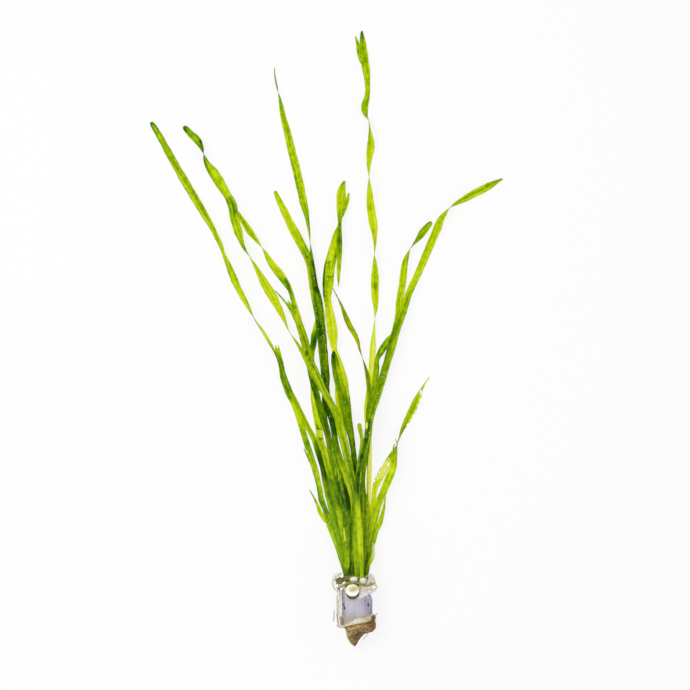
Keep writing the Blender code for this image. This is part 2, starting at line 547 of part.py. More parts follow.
def build_crown(surface):
    rings = []
    for row, half_width, half_height in CROWN_ROWS:
        x = (CROWN_MIDDLE - POT_CENTRE[0]) * PIXEL
        y = (POT_CENTRE[1] - row) * PIXEL
        rings.append(
            [
                (
                    x + half_width * MM * squarish(math.cos(2 * math.pi * i / CROWN_SIDES)),
                    y,
                    CENTRE_HEIGHT + half_height * MM * squarish(math.sin(2 * math.pi * i / CROWN_SIDES)),
                )
                for i in range(CROWN_SIDES)
            ]
        )
    add_object("crown", *skin_rings(rings), surface)


# The round window on the pot's upper side: a raised ring at the mouth, and an oval lens that lies over it
WINDOW_MIDDLE = (352.6, 592.0)
RING_RADIUS = 4.95 * MM
RING_BAR = 0.5 * MM
RING_STEPS = 24
BAR_STEPS = 6
LENS_MIDDLE = (352.5, 589.7)
LENS_RADII = (5.2 * MM, 4.85 * MM, 1.2 * MM)


def place(x, y, height):
    return Vector(((x - POT_CENTRE[0]) * PIXEL, (POT_CENTRE[1] - y) * PIXEL, height))


def build_window(ring_surface, lens_surface):
    middle = place(*WINDOW_MIDDLE, POT_WIDTH + GAP + RING_BAR)
    points = []
    faces = []
    for i in range(RING_STEPS):
        angle = 2 * math.pi * i / RING_STEPS
        for j in range(BAR_STEPS):
            turn = 2 * math.pi * j / BAR_STEPS
            reach = RING_RADIUS + RING_BAR * math.cos(turn)
            height = RING_BAR * math.sin(turn)
            points.append(middle + Vector((reach * math.cos(angle), reach * math.sin(angle), height)))
            here = i * BAR_STEPS
            beyond = (i + 1) % RING_STEPS * BAR_STEPS
            faces.append((here + j, here + (j + 1) % BAR_STEPS, beyond + (j + 1) % BAR_STEPS, beyond + j))
    add_object("window_ring", points, faces, ring_surface)
    lens = place(*LENS_MIDDLE, POT_WIDTH + 2 * GAP + 2 * RING_BAR + LENS_RADII[2])
    add_ball("window_lens", lens, LENS_RADII, lens_surface)


def add_ball(name, middle, radii, surface, turn=0.0):
    shape = bmesh.new()
    bmesh.ops.create_icosphere(shape, subdivisions=2, radius=1)
    mesh = bpy.data.meshes.new(name)
    for vertex in shape.verts:
        vertex.co = Vector(a * b for a, b in zip(vertex.co, radii))
    shape.to_mesh(mesh)
    shape.free()
    mesh.shade_smooth()
    mesh.materials.append(surface)
    made = bpy.data.objects.new(name, mesh)
    made.location = middle
    made.rotation_euler.z = turn
    bpy.context.collection.objects.link(made)


# The side shoot at the crown's left: pixel place, height of the middle and half sizes in millimetres
SIDE_SHOOT = ((339.9, 579.6), 16.5, (1.5, 2.6, 2.2))

# White pebbles round the crown: the same, and the turn about the upright in radians
PEBBLES = {
    "pebble_middle": ((353.8, 578.6), 22.4, (3.0, 2.1, 2.0), 0.1),
    "pebble_right": ((362.6, 580.0), 21.6, (2.6, 2.5, 2.1), 0.3),
    "pebble_left": ((344.2, 582.6), 20.8, (1.9, 1.5, 1.4), 0.6),
    "pebble_side": ((370.4, 579.4), 19.2, (1.6, 2.5, 1.9), 0.5),
}

# Round stems and roots: route points (pixel x, pixel y, height in millimetres) and radius in millimetres
STRANDS = {
    "runner": (
        [
            (338.0, 588.0, 17.0), (339.6, 586.8, 20.4), (342.8, 585.0, 23.6), (346.5, 582.8, 25.8),
            (351.0, 581.3, 26.2), (356.5, 581.5, 26.2), (361.0, 583.6, 25.8), (366.0, 585.0, 24.2),
            (370.5, 584.0, 22.0), (374.0, 582.2, 19.6),
        ],
        0.85,
    ),
    "root_loop_left": (
        [
            (341.0, 573.6, 12.5), (337.6, 574.6, 13.2), (334.4, 577.2, 13.6), (332.8, 581.2, 13.4),
            (333.2, 585.6, 12.8), (335.2, 589.2, 12.0), (338.0, 592.0, 11.0),
        ],
        0.8,
    ),
    "root_loop_right": (
        [
            (371.6, 585.2, 14.0), (374.8, 584.4, 13.6), (377.0, 586.4, 13.0), (375.4, 588.8, 12.4),
            (372.0, 589.6, 12.0),
        ],
        0.9,
    ),
    "root_side_upper": (
        [(338.2, 594.0, 9.6), (337.0, 599.0, 8.4), (337.6, 605.0, 7.4), (338.4, 611.0, 6.4)],
        0.55,
    ),
    "root_side_lower": (
        [
            (337.4, 613.4, 5.8), (337.0, 618.0, 4.6), (338.0, 622.6, 3.2), (337.4, 626.6, 1.6),
            (341.0, 628.4, 0.9),
        ],
        0.65,
    ),
}
STRAND_STEP = 3.2 * MM


def add_strand(name, route, radius, surface):
    """A round strand along a smooth curve through the route's points."""
    points = np.array([place(*point[:2], point[2] * MM) for point in route])
    knots = np.concatenate([[0], np.cumsum(np.linalg.norm(np.diff(points, axis=0), axis=1))])
    at = np.linspace(0, knots[-1], max(5, int(knots[-1] / STRAND_STEP)))
    curve = bpy.data.curves.new(name, "CURVE")
    curve.dimensions = "3D"
    curve.bevel_depth = radius * MM
    curve.bevel_resolution = 1
    curve.use_fill_caps = True
    spline = curve.splines.new("POLY")
    spline.points.add(len(at) - 1)
    for point, spot in zip(spline.points, smooth_curve(knots, points, at)):
        point.co = (*spot, 1)
    curve.materials.append(surface)
    made = bpy.data.objects.new(name, curve)
    bpy.context.collection.objects.link(made)


def main():
    for old in list(bpy.data.objects):
        bpy.data.objects.remove(old, do_unlink=True)

    leaf_green = material("leaf_green", (0.30, 0.52, 0.02), 0.35)
    crown_olive = material("crown_olive", (0.22, 0.26, 0.05), 0.5)
    pot_lilac = material("pot_lilac", (0.50, 0.47, 0.56), 0.35, 0.8)
    wool_cream = material("wool_cream", (0.78, 0.72, 0.58), 0.95)
    root_brown = material("root_brown", (0.33, 0.22, 0.12), 0.9)
    pebble_white = material("pebble_white", (0.92, 0.90, 0.86), 0.3)
    ring_cream = material("ring_cream", (0.85, 0.82, 0.74), 0.3)
    root_pale = material("root_pale", (0.82, 0.78, 0.66), 0.5)

    blades = [Blade(name, stations, i % 2) for i, (name, stations) in enumerate(LEAVES.items())]
    field = HeightField(blades)
    rooted = [blade for blade in blades if blade.name not in LOOSE]
    for blade in blades:
        share = rooted.index(blade) / (len(rooted) - 1) if blade in rooted else 0
        held = LOWEST_BASE + (HIGHEST_BASE - LOWEST_BASE) * share if blade in rooted else 0
        blade.lay(field, held)
        build_blade(blade, leaf_green)

    build_pot(pot_lilac)
    build_wool(wool_cream)
    build_roots(root_brown)
    build_crown(crown_olive)
    build_window(ring_cream, pebble_white)
    middle, height, radii = SIDE_SHOOT
    add_ball("side_shoot", place(*middle, height * MM), [r * MM for r in radii], crown_olive)
    for name, (middle, height, radii, turn) in PEBBLES.items():
        add_ball(name, place(*middle, height * MM), [r * MM for r in radii], pebble_white, turn)
    for name, (route, radius) in STRANDS.items():
        add_strand(name, route, radius, crown_olive if name == "runner" else root_pale)


main()
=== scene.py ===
"""The looks of a vallisneria that lies on a pale lit table, seen from above with light behind its leaves.

Metres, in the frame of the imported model: +Y runs from the sleeve pot to the leaf tips and +Z is up. Places
that were read off the photograph are in its pixels (690 by 690) and become metres by PIXEL and POT_CENTRE.
"""

import math

import bmesh
import bpy
import numpy as np
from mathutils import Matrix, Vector, noise


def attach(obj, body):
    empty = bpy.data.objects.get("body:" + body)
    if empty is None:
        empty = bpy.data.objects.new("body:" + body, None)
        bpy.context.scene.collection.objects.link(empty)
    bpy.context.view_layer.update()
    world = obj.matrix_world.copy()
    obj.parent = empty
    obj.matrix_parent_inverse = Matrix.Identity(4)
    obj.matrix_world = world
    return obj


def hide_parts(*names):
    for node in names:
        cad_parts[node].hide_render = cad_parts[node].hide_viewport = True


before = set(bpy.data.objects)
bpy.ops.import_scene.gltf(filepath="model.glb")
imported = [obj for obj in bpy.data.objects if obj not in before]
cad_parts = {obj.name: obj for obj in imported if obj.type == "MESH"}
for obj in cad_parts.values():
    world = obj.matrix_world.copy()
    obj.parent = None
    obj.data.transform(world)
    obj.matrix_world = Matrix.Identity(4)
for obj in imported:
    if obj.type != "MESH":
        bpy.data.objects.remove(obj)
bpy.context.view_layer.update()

MM = 0.001
PIXEL = 0.74 * MM
PHOTO_SIZE = 690
POT_CENTRE = (357.0, 607.0)

# How the leaves were laid on each other, as in the solids
BLADE_THICKNESS = 0.5 * MM
BASE_THICKNESS = 0.6 * MM
THICK_LENGTH = 60 * MM
LAY_GAP = 0.3 * MM
LAY_CELL = 0.5 * MM
LAY_STEP = 1.0 * MM
LAY_REACH = 16 * MM
LOWEST_BASE = 4.5 * MM
HIGHEST_BASE = 17 * MM
FALL_LENGTH = 85 * MM
FIELD_MARGIN = 20 * MM
SOFTENED_ROWS = 3
CROSS = ((0, 0), (1, 0), (-1, 0), (0, 1), (0, -1))

# The fine ribbons: cells along and across, section, and how the edges wave
ROW_STEP = 0.6 * MM
CELLS_ACROSS = 12
ROOTED_LENGTH = 2.4 * MM
MIDDLE_THICKNESS = 0.36 * MM
EDGE_THICKNESS = 0.12 * MM
LEAST_HALF_WIDTH = 0.12 * MM
VEIN_HEIGHT = 0.025 * MM
VEINS = 3.5
CURL = 0.22 * MM
CURL_LENGTH = 45 * MM
RUFFLE = 0.2 * MM
RUFFLE_LENGTH = 13 * MM
WIDTH_WAVER = 0.05
WAVER_LENGTH = 6 * MM
FULL_WAVE_WIDTH = 2.5 * MM
LEAST_WAVE = 0.15
SECTION_POWER = 0.8

# Seeds that keep the noise of a blade's curl and edges, and of one blade and the next, apart
SEEDS = {"curl": 40, "right": 80, "left": 120}
SEED_STEP = 7.31
PATTERN_STEP = 9.7
SHEATH_SEED = 99
RANDOM_SEED = 4

# The sleeve pot and what fills it
POT_WIDTH = 23 * MM
POT_CORNER = 3.2 * MM
POT_WALL = 0.8 * MM
POT_MOUTH = 12.6 * MM
POT_SHOULDER = 5.5 * MM
SHOULDER_WIDTH = 3.0 * MM
POT_LEFT_END = -13.0 * MM
POT_MIDDLE_END = -7.0 * MM
POT_RIGHT_END = -4.6 * MM
CENTRE_HEIGHT = POT_WIDTH / 2
GAP = 0.3 * MM
WOOL_TOP_INSET = 4.5 * MM
WOOL_LEFT_END = -14.2 * MM
WOOL_RIGHT_END = -9.6 * MM
OUTLINE_POINTS = 96
CORNER_POINTS = 13

# Light: the table glows, the room adds a soft light from above
TABLE_GLOW = 0.82
TABLE_COLOUR = 0.15
ROOM_LIGHT = 0.8
KEY_SHARE = 0.3
KEY_POWER = 5.0
BLADE_THROUGH = 0.86
SOLID_THROUGH = 0.35

# Each leaf from its base to its tip: photograph pixels (x, y) on its centre line and the width seen there.
# A width of 0 marks a twist, where the blade is seen on its edge. The list runs from the lowest leaf up
LEAVES = {
    "leaf_01": [
        (345.5, 574, 4), (342.6, 563, 4.5), (339, 551, 5), (334, 538, 5), (328.8, 526, 5), (324.4, 519, 4.8),
        (320, 512, 4.5), (317.5, 505.5, 3), (314.5, 499, 1.8), (309.5, 490, 1),
    ],
    "leaf_02": [
        (366.6, 574, 4), (369.8, 555, 5), (373.2, 542, 4.8), (376.8, 530, 4.8), (380, 523, 5),
        (382, 516, 4.5), (383.9, 508, 2.6), (385.2, 499, 1.2), (386.2, 490, 0.6),
    ],
    "leaf_03": [
        (362.6, 574, 4.5), (366, 555, 5), (368, 535, 5), (368.6, 515, 4.6), (368.4, 500, 4.2),
        (368.7, 490, 4.4), (369.2, 478, 5), (369.5, 460, 5), (369.3, 442, 5), (367.5, 425, 5),
        (366.5, 408, 5), (368.5, 394, 5), (370.2, 381, 5.5), (371.5, 369, 6), (372.5, 355, 6.5),
        (373, 344, 5.5), (374, 331, 3), (375, 318, 0), (375.5, 307, 5), (375.2, 299, 7), (375, 289, 7.8),
        (375, 279, 8), (375, 270, 6), (374.8, 262, 3.5), (374.5, 255, 0), (375, 243, 3), (374.2, 230, 6.5),
        (372.5, 219, 8.5), (371, 209, 8), (370, 199, 7), (369.5, 189, 4.5), (369, 177, 0), (369, 165, 4),
        (369.6, 156, 6.5), (370.6, 148, 7.5), (371, 142, 6.5), (370.5, 135, 4), (370, 129, 1.5),
        (368.6, 120, 0), (366, 115, 4), (364.8, 110, 7.2), (365, 105, 7), (366.8, 98, 6), (367.8, 91, 5.5),
        (367.6, 84, 5.6), (366.8, 74, 6.6), (365.3, 64, 8), (364, 54, 8), (363, 44, 7), (362.2, 36, 4.5),
        (361.8, 30, 1.5),
    ],
    "leaf_04": [
        (366.2, 574, 4), (368, 555, 5), (370, 535, 5), (371.4, 520, 5), (372.4, 510, 4.8), (373.6, 500, 5.2),
        (375, 489, 6), (378.5, 480, 7.8), (382.6, 472.1, 7.6), (387.2, 464.3, 7.4), (391.1, 456.6, 5.5),
        (394, 451, 3.4), (396.5, 446.5, 1.2),
    ],
    "leaf_05": [
        (345.5, 574, 4.5), (342.4, 562, 5.5), (338.6, 549, 6), (333.6, 534, 6.5), (329, 521, 6),
        (325.4, 510, 5.4), (321.4, 500, 6), (319.8, 490, 5.6), (317.6, 480, 5.6), (315, 470, 6),
        (311.9, 460, 6.2), (308.7, 450, 6.4), (305.4, 440, 6.3), (302.2, 429, 6), (298.5, 417, 6),
        (294, 404, 6), (288, 392.4, 6), (283.1, 378.3, 5.9), (281, 365, 5.5), (278, 353, 5.8),
        (276.8, 345, 3.5),
    ],
    "leaf_06": [
        (346, 574, 4.5), (344, 558, 6), (340.4, 540, 7), (335.6, 523, 7), (333, 512, 7.2), (330, 500, 7.4),
        (327.6, 490, 7), (325.4, 480, 6.8), (323.4, 470, 6), (320.6, 460, 6.2), (317.8, 450, 6.4),
        (314.5, 440, 5.8), (308, 427, 5), (300, 410, 4.6), (290.9, 392.4, 4), (283.4, 373.3, 3.6),
        (276.5, 355, 2.4), (271, 345, 2.6), (266, 336.5, 3), (261, 328.5, 2), (254, 318, 0), (250, 310.5, 3),
        (246, 303, 4.4), (240.5, 293, 6.2), (236, 284, 7), (231.3, 273, 6.4), (227.3, 263, 5.2),
        (223.4, 254.2, 3), (220.8, 246, 4.4), (217, 238, 5), (212.6, 229, 5.4), (204.8, 215, 7),
        (195.8, 200, 8), (184, 180, 8), (167.5, 151, 7), (160, 137, 6.4), (154, 127, 5.6),
        (150.5, 121.5, 3.4),
    ],
    "leaf_07": [
        (362.4, 574, 4.5), (364.2, 562, 6), (367, 549, 7.5), (370.3, 535, 8), (373.4, 522, 8),
        (376.5, 510, 7.2), (379.9, 500, 7.2), (383.5, 491.6, 7.3), (386.3, 484.6, 7.3), (389.5, 477, 8),
        (392.8, 468.5, 7.2), (394.2, 460, 6), (395.6, 452, 4), (397, 445, 0), (399.2, 439, 1.6),
        (402, 431.5, 3.4), (405, 425, 5.4), (409, 416.5, 7), (413, 409, 7.6), (416.5, 401, 7.2),
        (419.5, 395, 5.4), (422, 389, 2.6), (425, 383.5, 1.4), (430, 377, 0.8),
    ],
    "torn_stub": [
        (365.5, 573, 2.6), (367.6, 567, 3.2), (370.6, 561, 4.2), (373.4, 554.5, 3.6), (373.6, 548, 2.4),
        (372.6, 543, 1.2),
    ],
    "leaf_08": [
        (350.5, 574, 4.5), (347.6, 558, 6), (344.6, 540, 6.8), (341.2, 520, 7.4), (339, 508, 7.8),
        (337.2, 500, 7.8), (335, 490, 7.6), (332, 480, 7.2), (329, 470, 6.8), (326.2, 460, 6.6),
        (323.9, 450, 6.6), (320.4, 440.2, 6.6), (319.1, 430.2, 7.4), (317.2, 420.1, 6.4), (314.5, 405.2, 6.2),
        (313.6, 398, 6), (313.1, 388, 5.6), (312, 376, 5.4), (312, 364, 5.2), (312, 352, 5.2),
        (313.3, 344, 6.2), (314.4, 336, 7), (316, 328, 6.4), (318, 318, 5), (319.6, 308, 2.4),
    ],
    "leaf_09": [
        (357, 574, 4.5), (359, 550, 5), (360, 525, 5), (361.3, 500, 5), (363.2, 480, 5), (366, 460, 5),
        (368, 440, 5), (369.4, 420, 4.6), (369.6, 402, 4.2), (368.4, 384, 4), (367, 374, 3.5),
        (365, 366, 2.5), (362, 357, 0), (359.2, 348.7, 2.4), (357.6, 341.5, 3.6), (354.4, 334, 5),
        (349.9, 326.3, 5.4), (346.5, 318.6, 5.5), (343.6, 311, 3.6), (341, 304.5, 2.4), (338.6, 299.5, 1.2),
        (335.8, 294, 1.2), (333, 288, 0.8),
    ],
    "leaf_10": [
        (351, 574, 4.5), (350, 545, 7), (348.8, 520, 8), (347.4, 503, 8), (344, 490, 8), (341, 480, 7.8),
        (337.8, 470, 7.4), (334.8, 460, 7), (331.6, 450, 6.6), (328.8, 440, 6.4), (326.6, 430, 6.2),
        (324.6, 420, 6), (324.2, 410, 6), (325, 400, 6.4), (325.4, 390, 7), (326, 380, 7.4),
        (324.6, 360, 7.2), (323.2, 340, 7), (321.6, 320, 6.8), (319.2, 300, 6.4), (315.7, 285, 5.2),
        (313.4, 270, 4.3), (311.8, 257, 3.6), (310, 242, 0), (309, 230, 2.5), (307.5, 220, 4.2),
        (306, 212, 6), (304, 204.5, 7.2), (301, 190, 8), (296.5, 170, 8.2), (291.5, 150, 8), (287, 131, 7.2),
        (284, 120, 6), (281.5, 108, 4.8), (280, 100, 3), (278, 92, 0), (276.4, 84, 1.6), (275, 77, 1.5),
        (274.3, 67, 0.8),
    ],
    "leaf_12": [
        (362, 574, 4.5), (363.6, 548, 6), (365.2, 525, 6.5), (365.8, 508, 6.6), (364.6, 495, 6.5),
        (363.6, 480, 6), (364.4, 468, 6), (365.2, 458, 6), (366.8, 441, 6.2), (368.2, 425, 6), (369, 412, 6),
        (371, 399, 6), (375, 382, 6), (376.6, 368, 5.6), (377.4, 359, 4.4), (381.1, 351.6, 7),
        (385, 345.2, 7), (388.4, 340, 6.2), (392, 335, 3),
    ],
    "leaf_13": [
        (361.6, 574, 4.5), (361, 550, 6), (360.8, 525, 6.5), (361.2, 500, 6.5), (362.2, 476, 6.5),
        (364, 460, 6.5), (366, 446, 6.5), (368, 432, 6.5), (369.6, 420, 6.5), (373, 408, 6.5),
        (377, 395, 6.5), (381, 382, 6.5), (384.4, 370, 6.5), (388.4, 355, 6.5), (392, 341, 6.5),
        (396, 326, 6.2), (398.2, 315, 6), (399.2, 302, 6.6), (401.5, 290, 7), (403, 280, 7.4), (404, 270, 7),
        (405.2, 262, 6), (407, 256, 4), (410, 249, 0), (414.3, 243.2, 1.8), (418.4, 238.3, 4.9),
        (423, 232, 7), (427.5, 226.5, 6.4), (431.8, 221.5, 3.4),
    ],
    "leaf_14": [
        (356.6, 574, 4), (354.8, 545, 4.5), (354, 515, 5), (353, 495, 5), (351, 476, 5), (348.8, 460, 5),
        (346, 445, 4.4), (344.2, 432, 4), (343, 425, 4.2), (341.8, 420, 4.6), (340.8, 415, 4.8),
        (339.6, 410, 5), (338, 400, 5.6), (337.2, 388, 4.6), (337.8, 378, 3.6), (338.6, 370, 1.5),
    ],
    "leaf_15": [
        (356.6, 574, 4.5), (356.4, 550, 7), (357, 525, 8), (356.8, 500, 8), (356, 484, 7), (355.4, 471, 6),
        (354.6, 459, 5), (353.6, 450, 4.8), (352.2, 440, 5.4), (350.4, 430, 6.2), (349, 420, 6.8),
        (347.8, 410, 7.2), (346.6, 400, 7.4), (345.2, 390, 7.4), (343.8, 380, 7.6), (340.2, 367, 7),
        (336.4, 355.5, 5.4), (334, 348, 6), (333.2, 340, 8.6), (332.4, 332, 11), (331.4, 323.5, 10.2),
        (329.8, 315, 9.6), (328.4, 306, 7.8), (327.2, 298, 7), (327.8, 286, 11.8), (329.3, 268.2, 11.2),
        (332, 255, 10), (334.6, 243, 8.2), (337, 232, 5), (339.5, 222, 0), (342, 214, 4), (345, 206, 5),
        (347.2, 200, 4.4), (349, 192.5, 1.5),
    ],
    "leaf_16": [
        (351, 574, 4.5), (353, 550, 7), (354.8, 525, 8), (355, 500, 8.2), (355, 485, 7.4), (354.8, 471, 6.4),
        (354, 459, 5.2), (353, 450, 5), (351.6, 440, 5.8), (349.6, 430, 7), (347.6, 420, 8.2),
        (345.6, 410, 8.8), (343.4, 399, 9), (340.2, 388, 8.8), (337.4, 377, 8.2), (334.8, 362.5, 7.2),
        (333.2, 350.8, 4.2),
    ],
    "leaf_17": [
        (346.2, 574, 4.5), (348, 550, 7), (346.8, 530, 7.6), (346.6, 514, 8), (344, 502, 8), (341, 490, 8),
        (338.4, 480, 8), (335.8, 470, 8), (333.2, 460, 7.4), (330.7, 450, 7), (328.8, 440, 6.2),
        (326.6, 430, 7.2), (323.6, 420, 7), (320.6, 410, 6.6), (318, 400, 6.2), (315.6, 390, 7),
        (312.6, 378, 7.4), (308.6, 362, 6), (305, 350, 4.6), (300.4, 334, 4), (297, 322.5, 3.8),
        (293.6, 315.5, 3.4), (290, 309, 3), (286, 303, 2.4), (280, 296, 1.6), (275, 290.5, 0.8),
    ],
    "leaf_18": [
        (362, 574, 4), (359.4, 550, 4.6), (357.8, 525, 5), (357, 500, 5), (358, 485, 4.4), (358.8, 470, 4.6),
        (359.6, 460, 4.6), (360.6, 453, 4), (361.4, 447, 3.6), (362, 440, 3.4), (361.3, 435, 4),
        (360, 429, 4.4), (359, 423, 4.2),
    ],
    "leaf_11": [
        (359.4, 574, 4.4), (358.6, 560, 5), (357.8, 548, 7), (357, 535, 7.6), (356, 520, 7.8),
        (354.8, 508, 7.8), (353.4, 497, 7.2), (350.8, 488, 7), (347.6, 479, 6.8), (344.8, 471, 6.8),
        (341.3, 462, 6.8), (338, 452, 6.2), (335.4, 441, 6.2), (333.8, 430, 6), (332, 420, 6.4),
        (329.2, 410, 7.2), (326.8, 400, 7.8), (325.8, 390, 8), (325.2, 380, 7.8), (324.6, 369, 8.2),
        (322.6, 350, 8.4), (320.8, 331, 8.4), (318.6, 315, 8.2), (315.4, 300, 8), (312.2, 281, 7.6),
        (309.7, 265, 6.8), (307, 256, 8), (303, 248, 8.4), (298, 238, 9), (292.6, 228.2, 8.2),
        (287.4, 217.8, 8), (282.6, 207.7, 7), (278.4, 199.2, 5.8), (274.6, 190.4, 3.4),
    ],
    "leaf_19": [
        (357, 574, 4.5), (357, 545, 6), (356.4, 520, 6.6), (356, 502, 5.6), (354.2, 490, 5.6),
        (352.2, 480, 6), (350.2, 470, 6.6), (347.8, 460, 7.4), (345.6, 450, 7.8), (343.5, 440, 8),
        (340.8, 430, 8.2), (338.2, 420, 7.2), (334.4, 411, 6.2), (329.6, 401, 6.6), (323.4, 390, 7),
        (314.4, 374, 8.2), (309, 364, 7), (304, 354.5, 5.2), (298.8, 346, 2.8), (294.8, 340, 1.8),
        (290, 333, 0), (284.2, 320, 3.5), (280, 311, 6.4), (275.4, 302, 8.2), (271, 294, 9),
        (265.8, 285.5, 8.2), (257, 269.5, 5), (253.2, 262.5, 2.4), (250, 257, 0), (243.2, 246, 4),
        (241, 240, 5.6), (237.7, 230.2, 8.8), (234.6, 218.8, 9.2), (231.6, 203.6, 9.2), (228, 196.5, 7.4),
        (223.8, 189.6, 8.9), (219, 181.5, 10), (213.6, 173, 10), (207, 163, 5), (204.8, 157.5, 3.2),
        (203.6, 153.6, 0), (202.3, 150, 3.4), (200.6, 145.6, 5.2), (197, 140, 7.4), (190, 133.2, 7),
        (185.6, 128.2, 6), (183.2, 125.8, 3.8),
    ],
    "leaf_20": [
        (357, 574, 4.5), (355.6, 545, 7), (355.4, 520, 7.4), (356.4, 500, 7.4), (358.4, 478, 7.2),
        (361, 463, 7), (364, 450, 7), (368.2, 435, 7.2), (369.4, 421, 7.2), (372.6, 409.5, 7.4),
        (376.9, 396.5, 7.6), (381.4, 382, 7.6), (385.4, 368, 7.6), (389.2, 356, 7.4), (393.2, 343, 7.4),
        (395.4, 334, 7.2), (399.4, 322, 7.6), (402.6, 312.5, 7.8), (405.6, 303, 7.6), (408.4, 294.5, 7),
        (412.4, 285.5, 7), (417, 276, 7), (424.3, 259.2, 7.4), (428.6, 249.1, 7.8), (432.2, 240.6, 8),
        (435.9, 231.7, 8), (438.8, 224.8, 7.8), (441.2, 219, 6.4), (444.8, 214, 4), (450, 207.5, 0),
        (458.6, 202, 5), (466, 198, 6.2), (474, 193.5, 7), (482.2, 189.5, 7.8), (490.2, 185.2, 7.2),
        (497, 181.5, 4), (503, 178.5, 1.4),
    ],
    "leaf_21": [
        (361.6, 574, 4.4), (361.2, 560, 4.6), (360.4, 545, 5.4), (359.6, 530, 6), (358.6, 515, 5.8),
        (356.9, 500, 5.4), (355, 490, 5.4), (352.9, 480, 6), (350.6, 470, 6.8), (348.3, 460, 7.4),
        (346, 450, 7.6), (343.9, 440, 8), (341.2, 431, 8.8), (338.8, 421, 8), (336.4, 414, 6.6),
        (333.2, 407, 6.6), (329.2, 400, 7.4), (324.2, 391, 7.4), (321, 383, 7), (317.8, 376, 6.6),
        (315, 370, 6.8), (312.4, 365, 7), (310.2, 360, 7.2), (308.7, 355, 7.4), (307.4, 350, 7.6),
        (304.8, 340, 7.6), (301.3, 330, 7.4), (298, 320, 6.8), (295.4, 310, 6), (292.9, 300, 5),
        (291.2, 294, 4.4), (289, 288, 4.2), (285.2, 282, 7), (280.4, 275, 8), (274, 267, 7.2),
        (269, 259.5, 6), (264.6, 251.5, 2.4), (262, 247.5, 0), (257.6, 241.6, 3.8), (252.4, 235, 5.8),
        (248.2, 229, 6.6), (244.2, 223, 6), (240.4, 217, 4.4), (236.8, 211.5, 3.4),
    ],
    "broken_blade": [
        (338.5, 286, 0.8), (338.5, 275.5, 3.2), (339, 262.5, 5), (339.4, 250, 6), (339.3, 236, 5.6),
        (339.8, 223.5, 3.2), (340.2, 213, 6.4), (341, 205, 9.4), (341.2, 196, 9.6), (342, 188.5, 7.6),
        (343.6, 183.5, 4.4), (344.8, 180.5, 1.6),
    ],
}
LOOSE = "broken_blade"

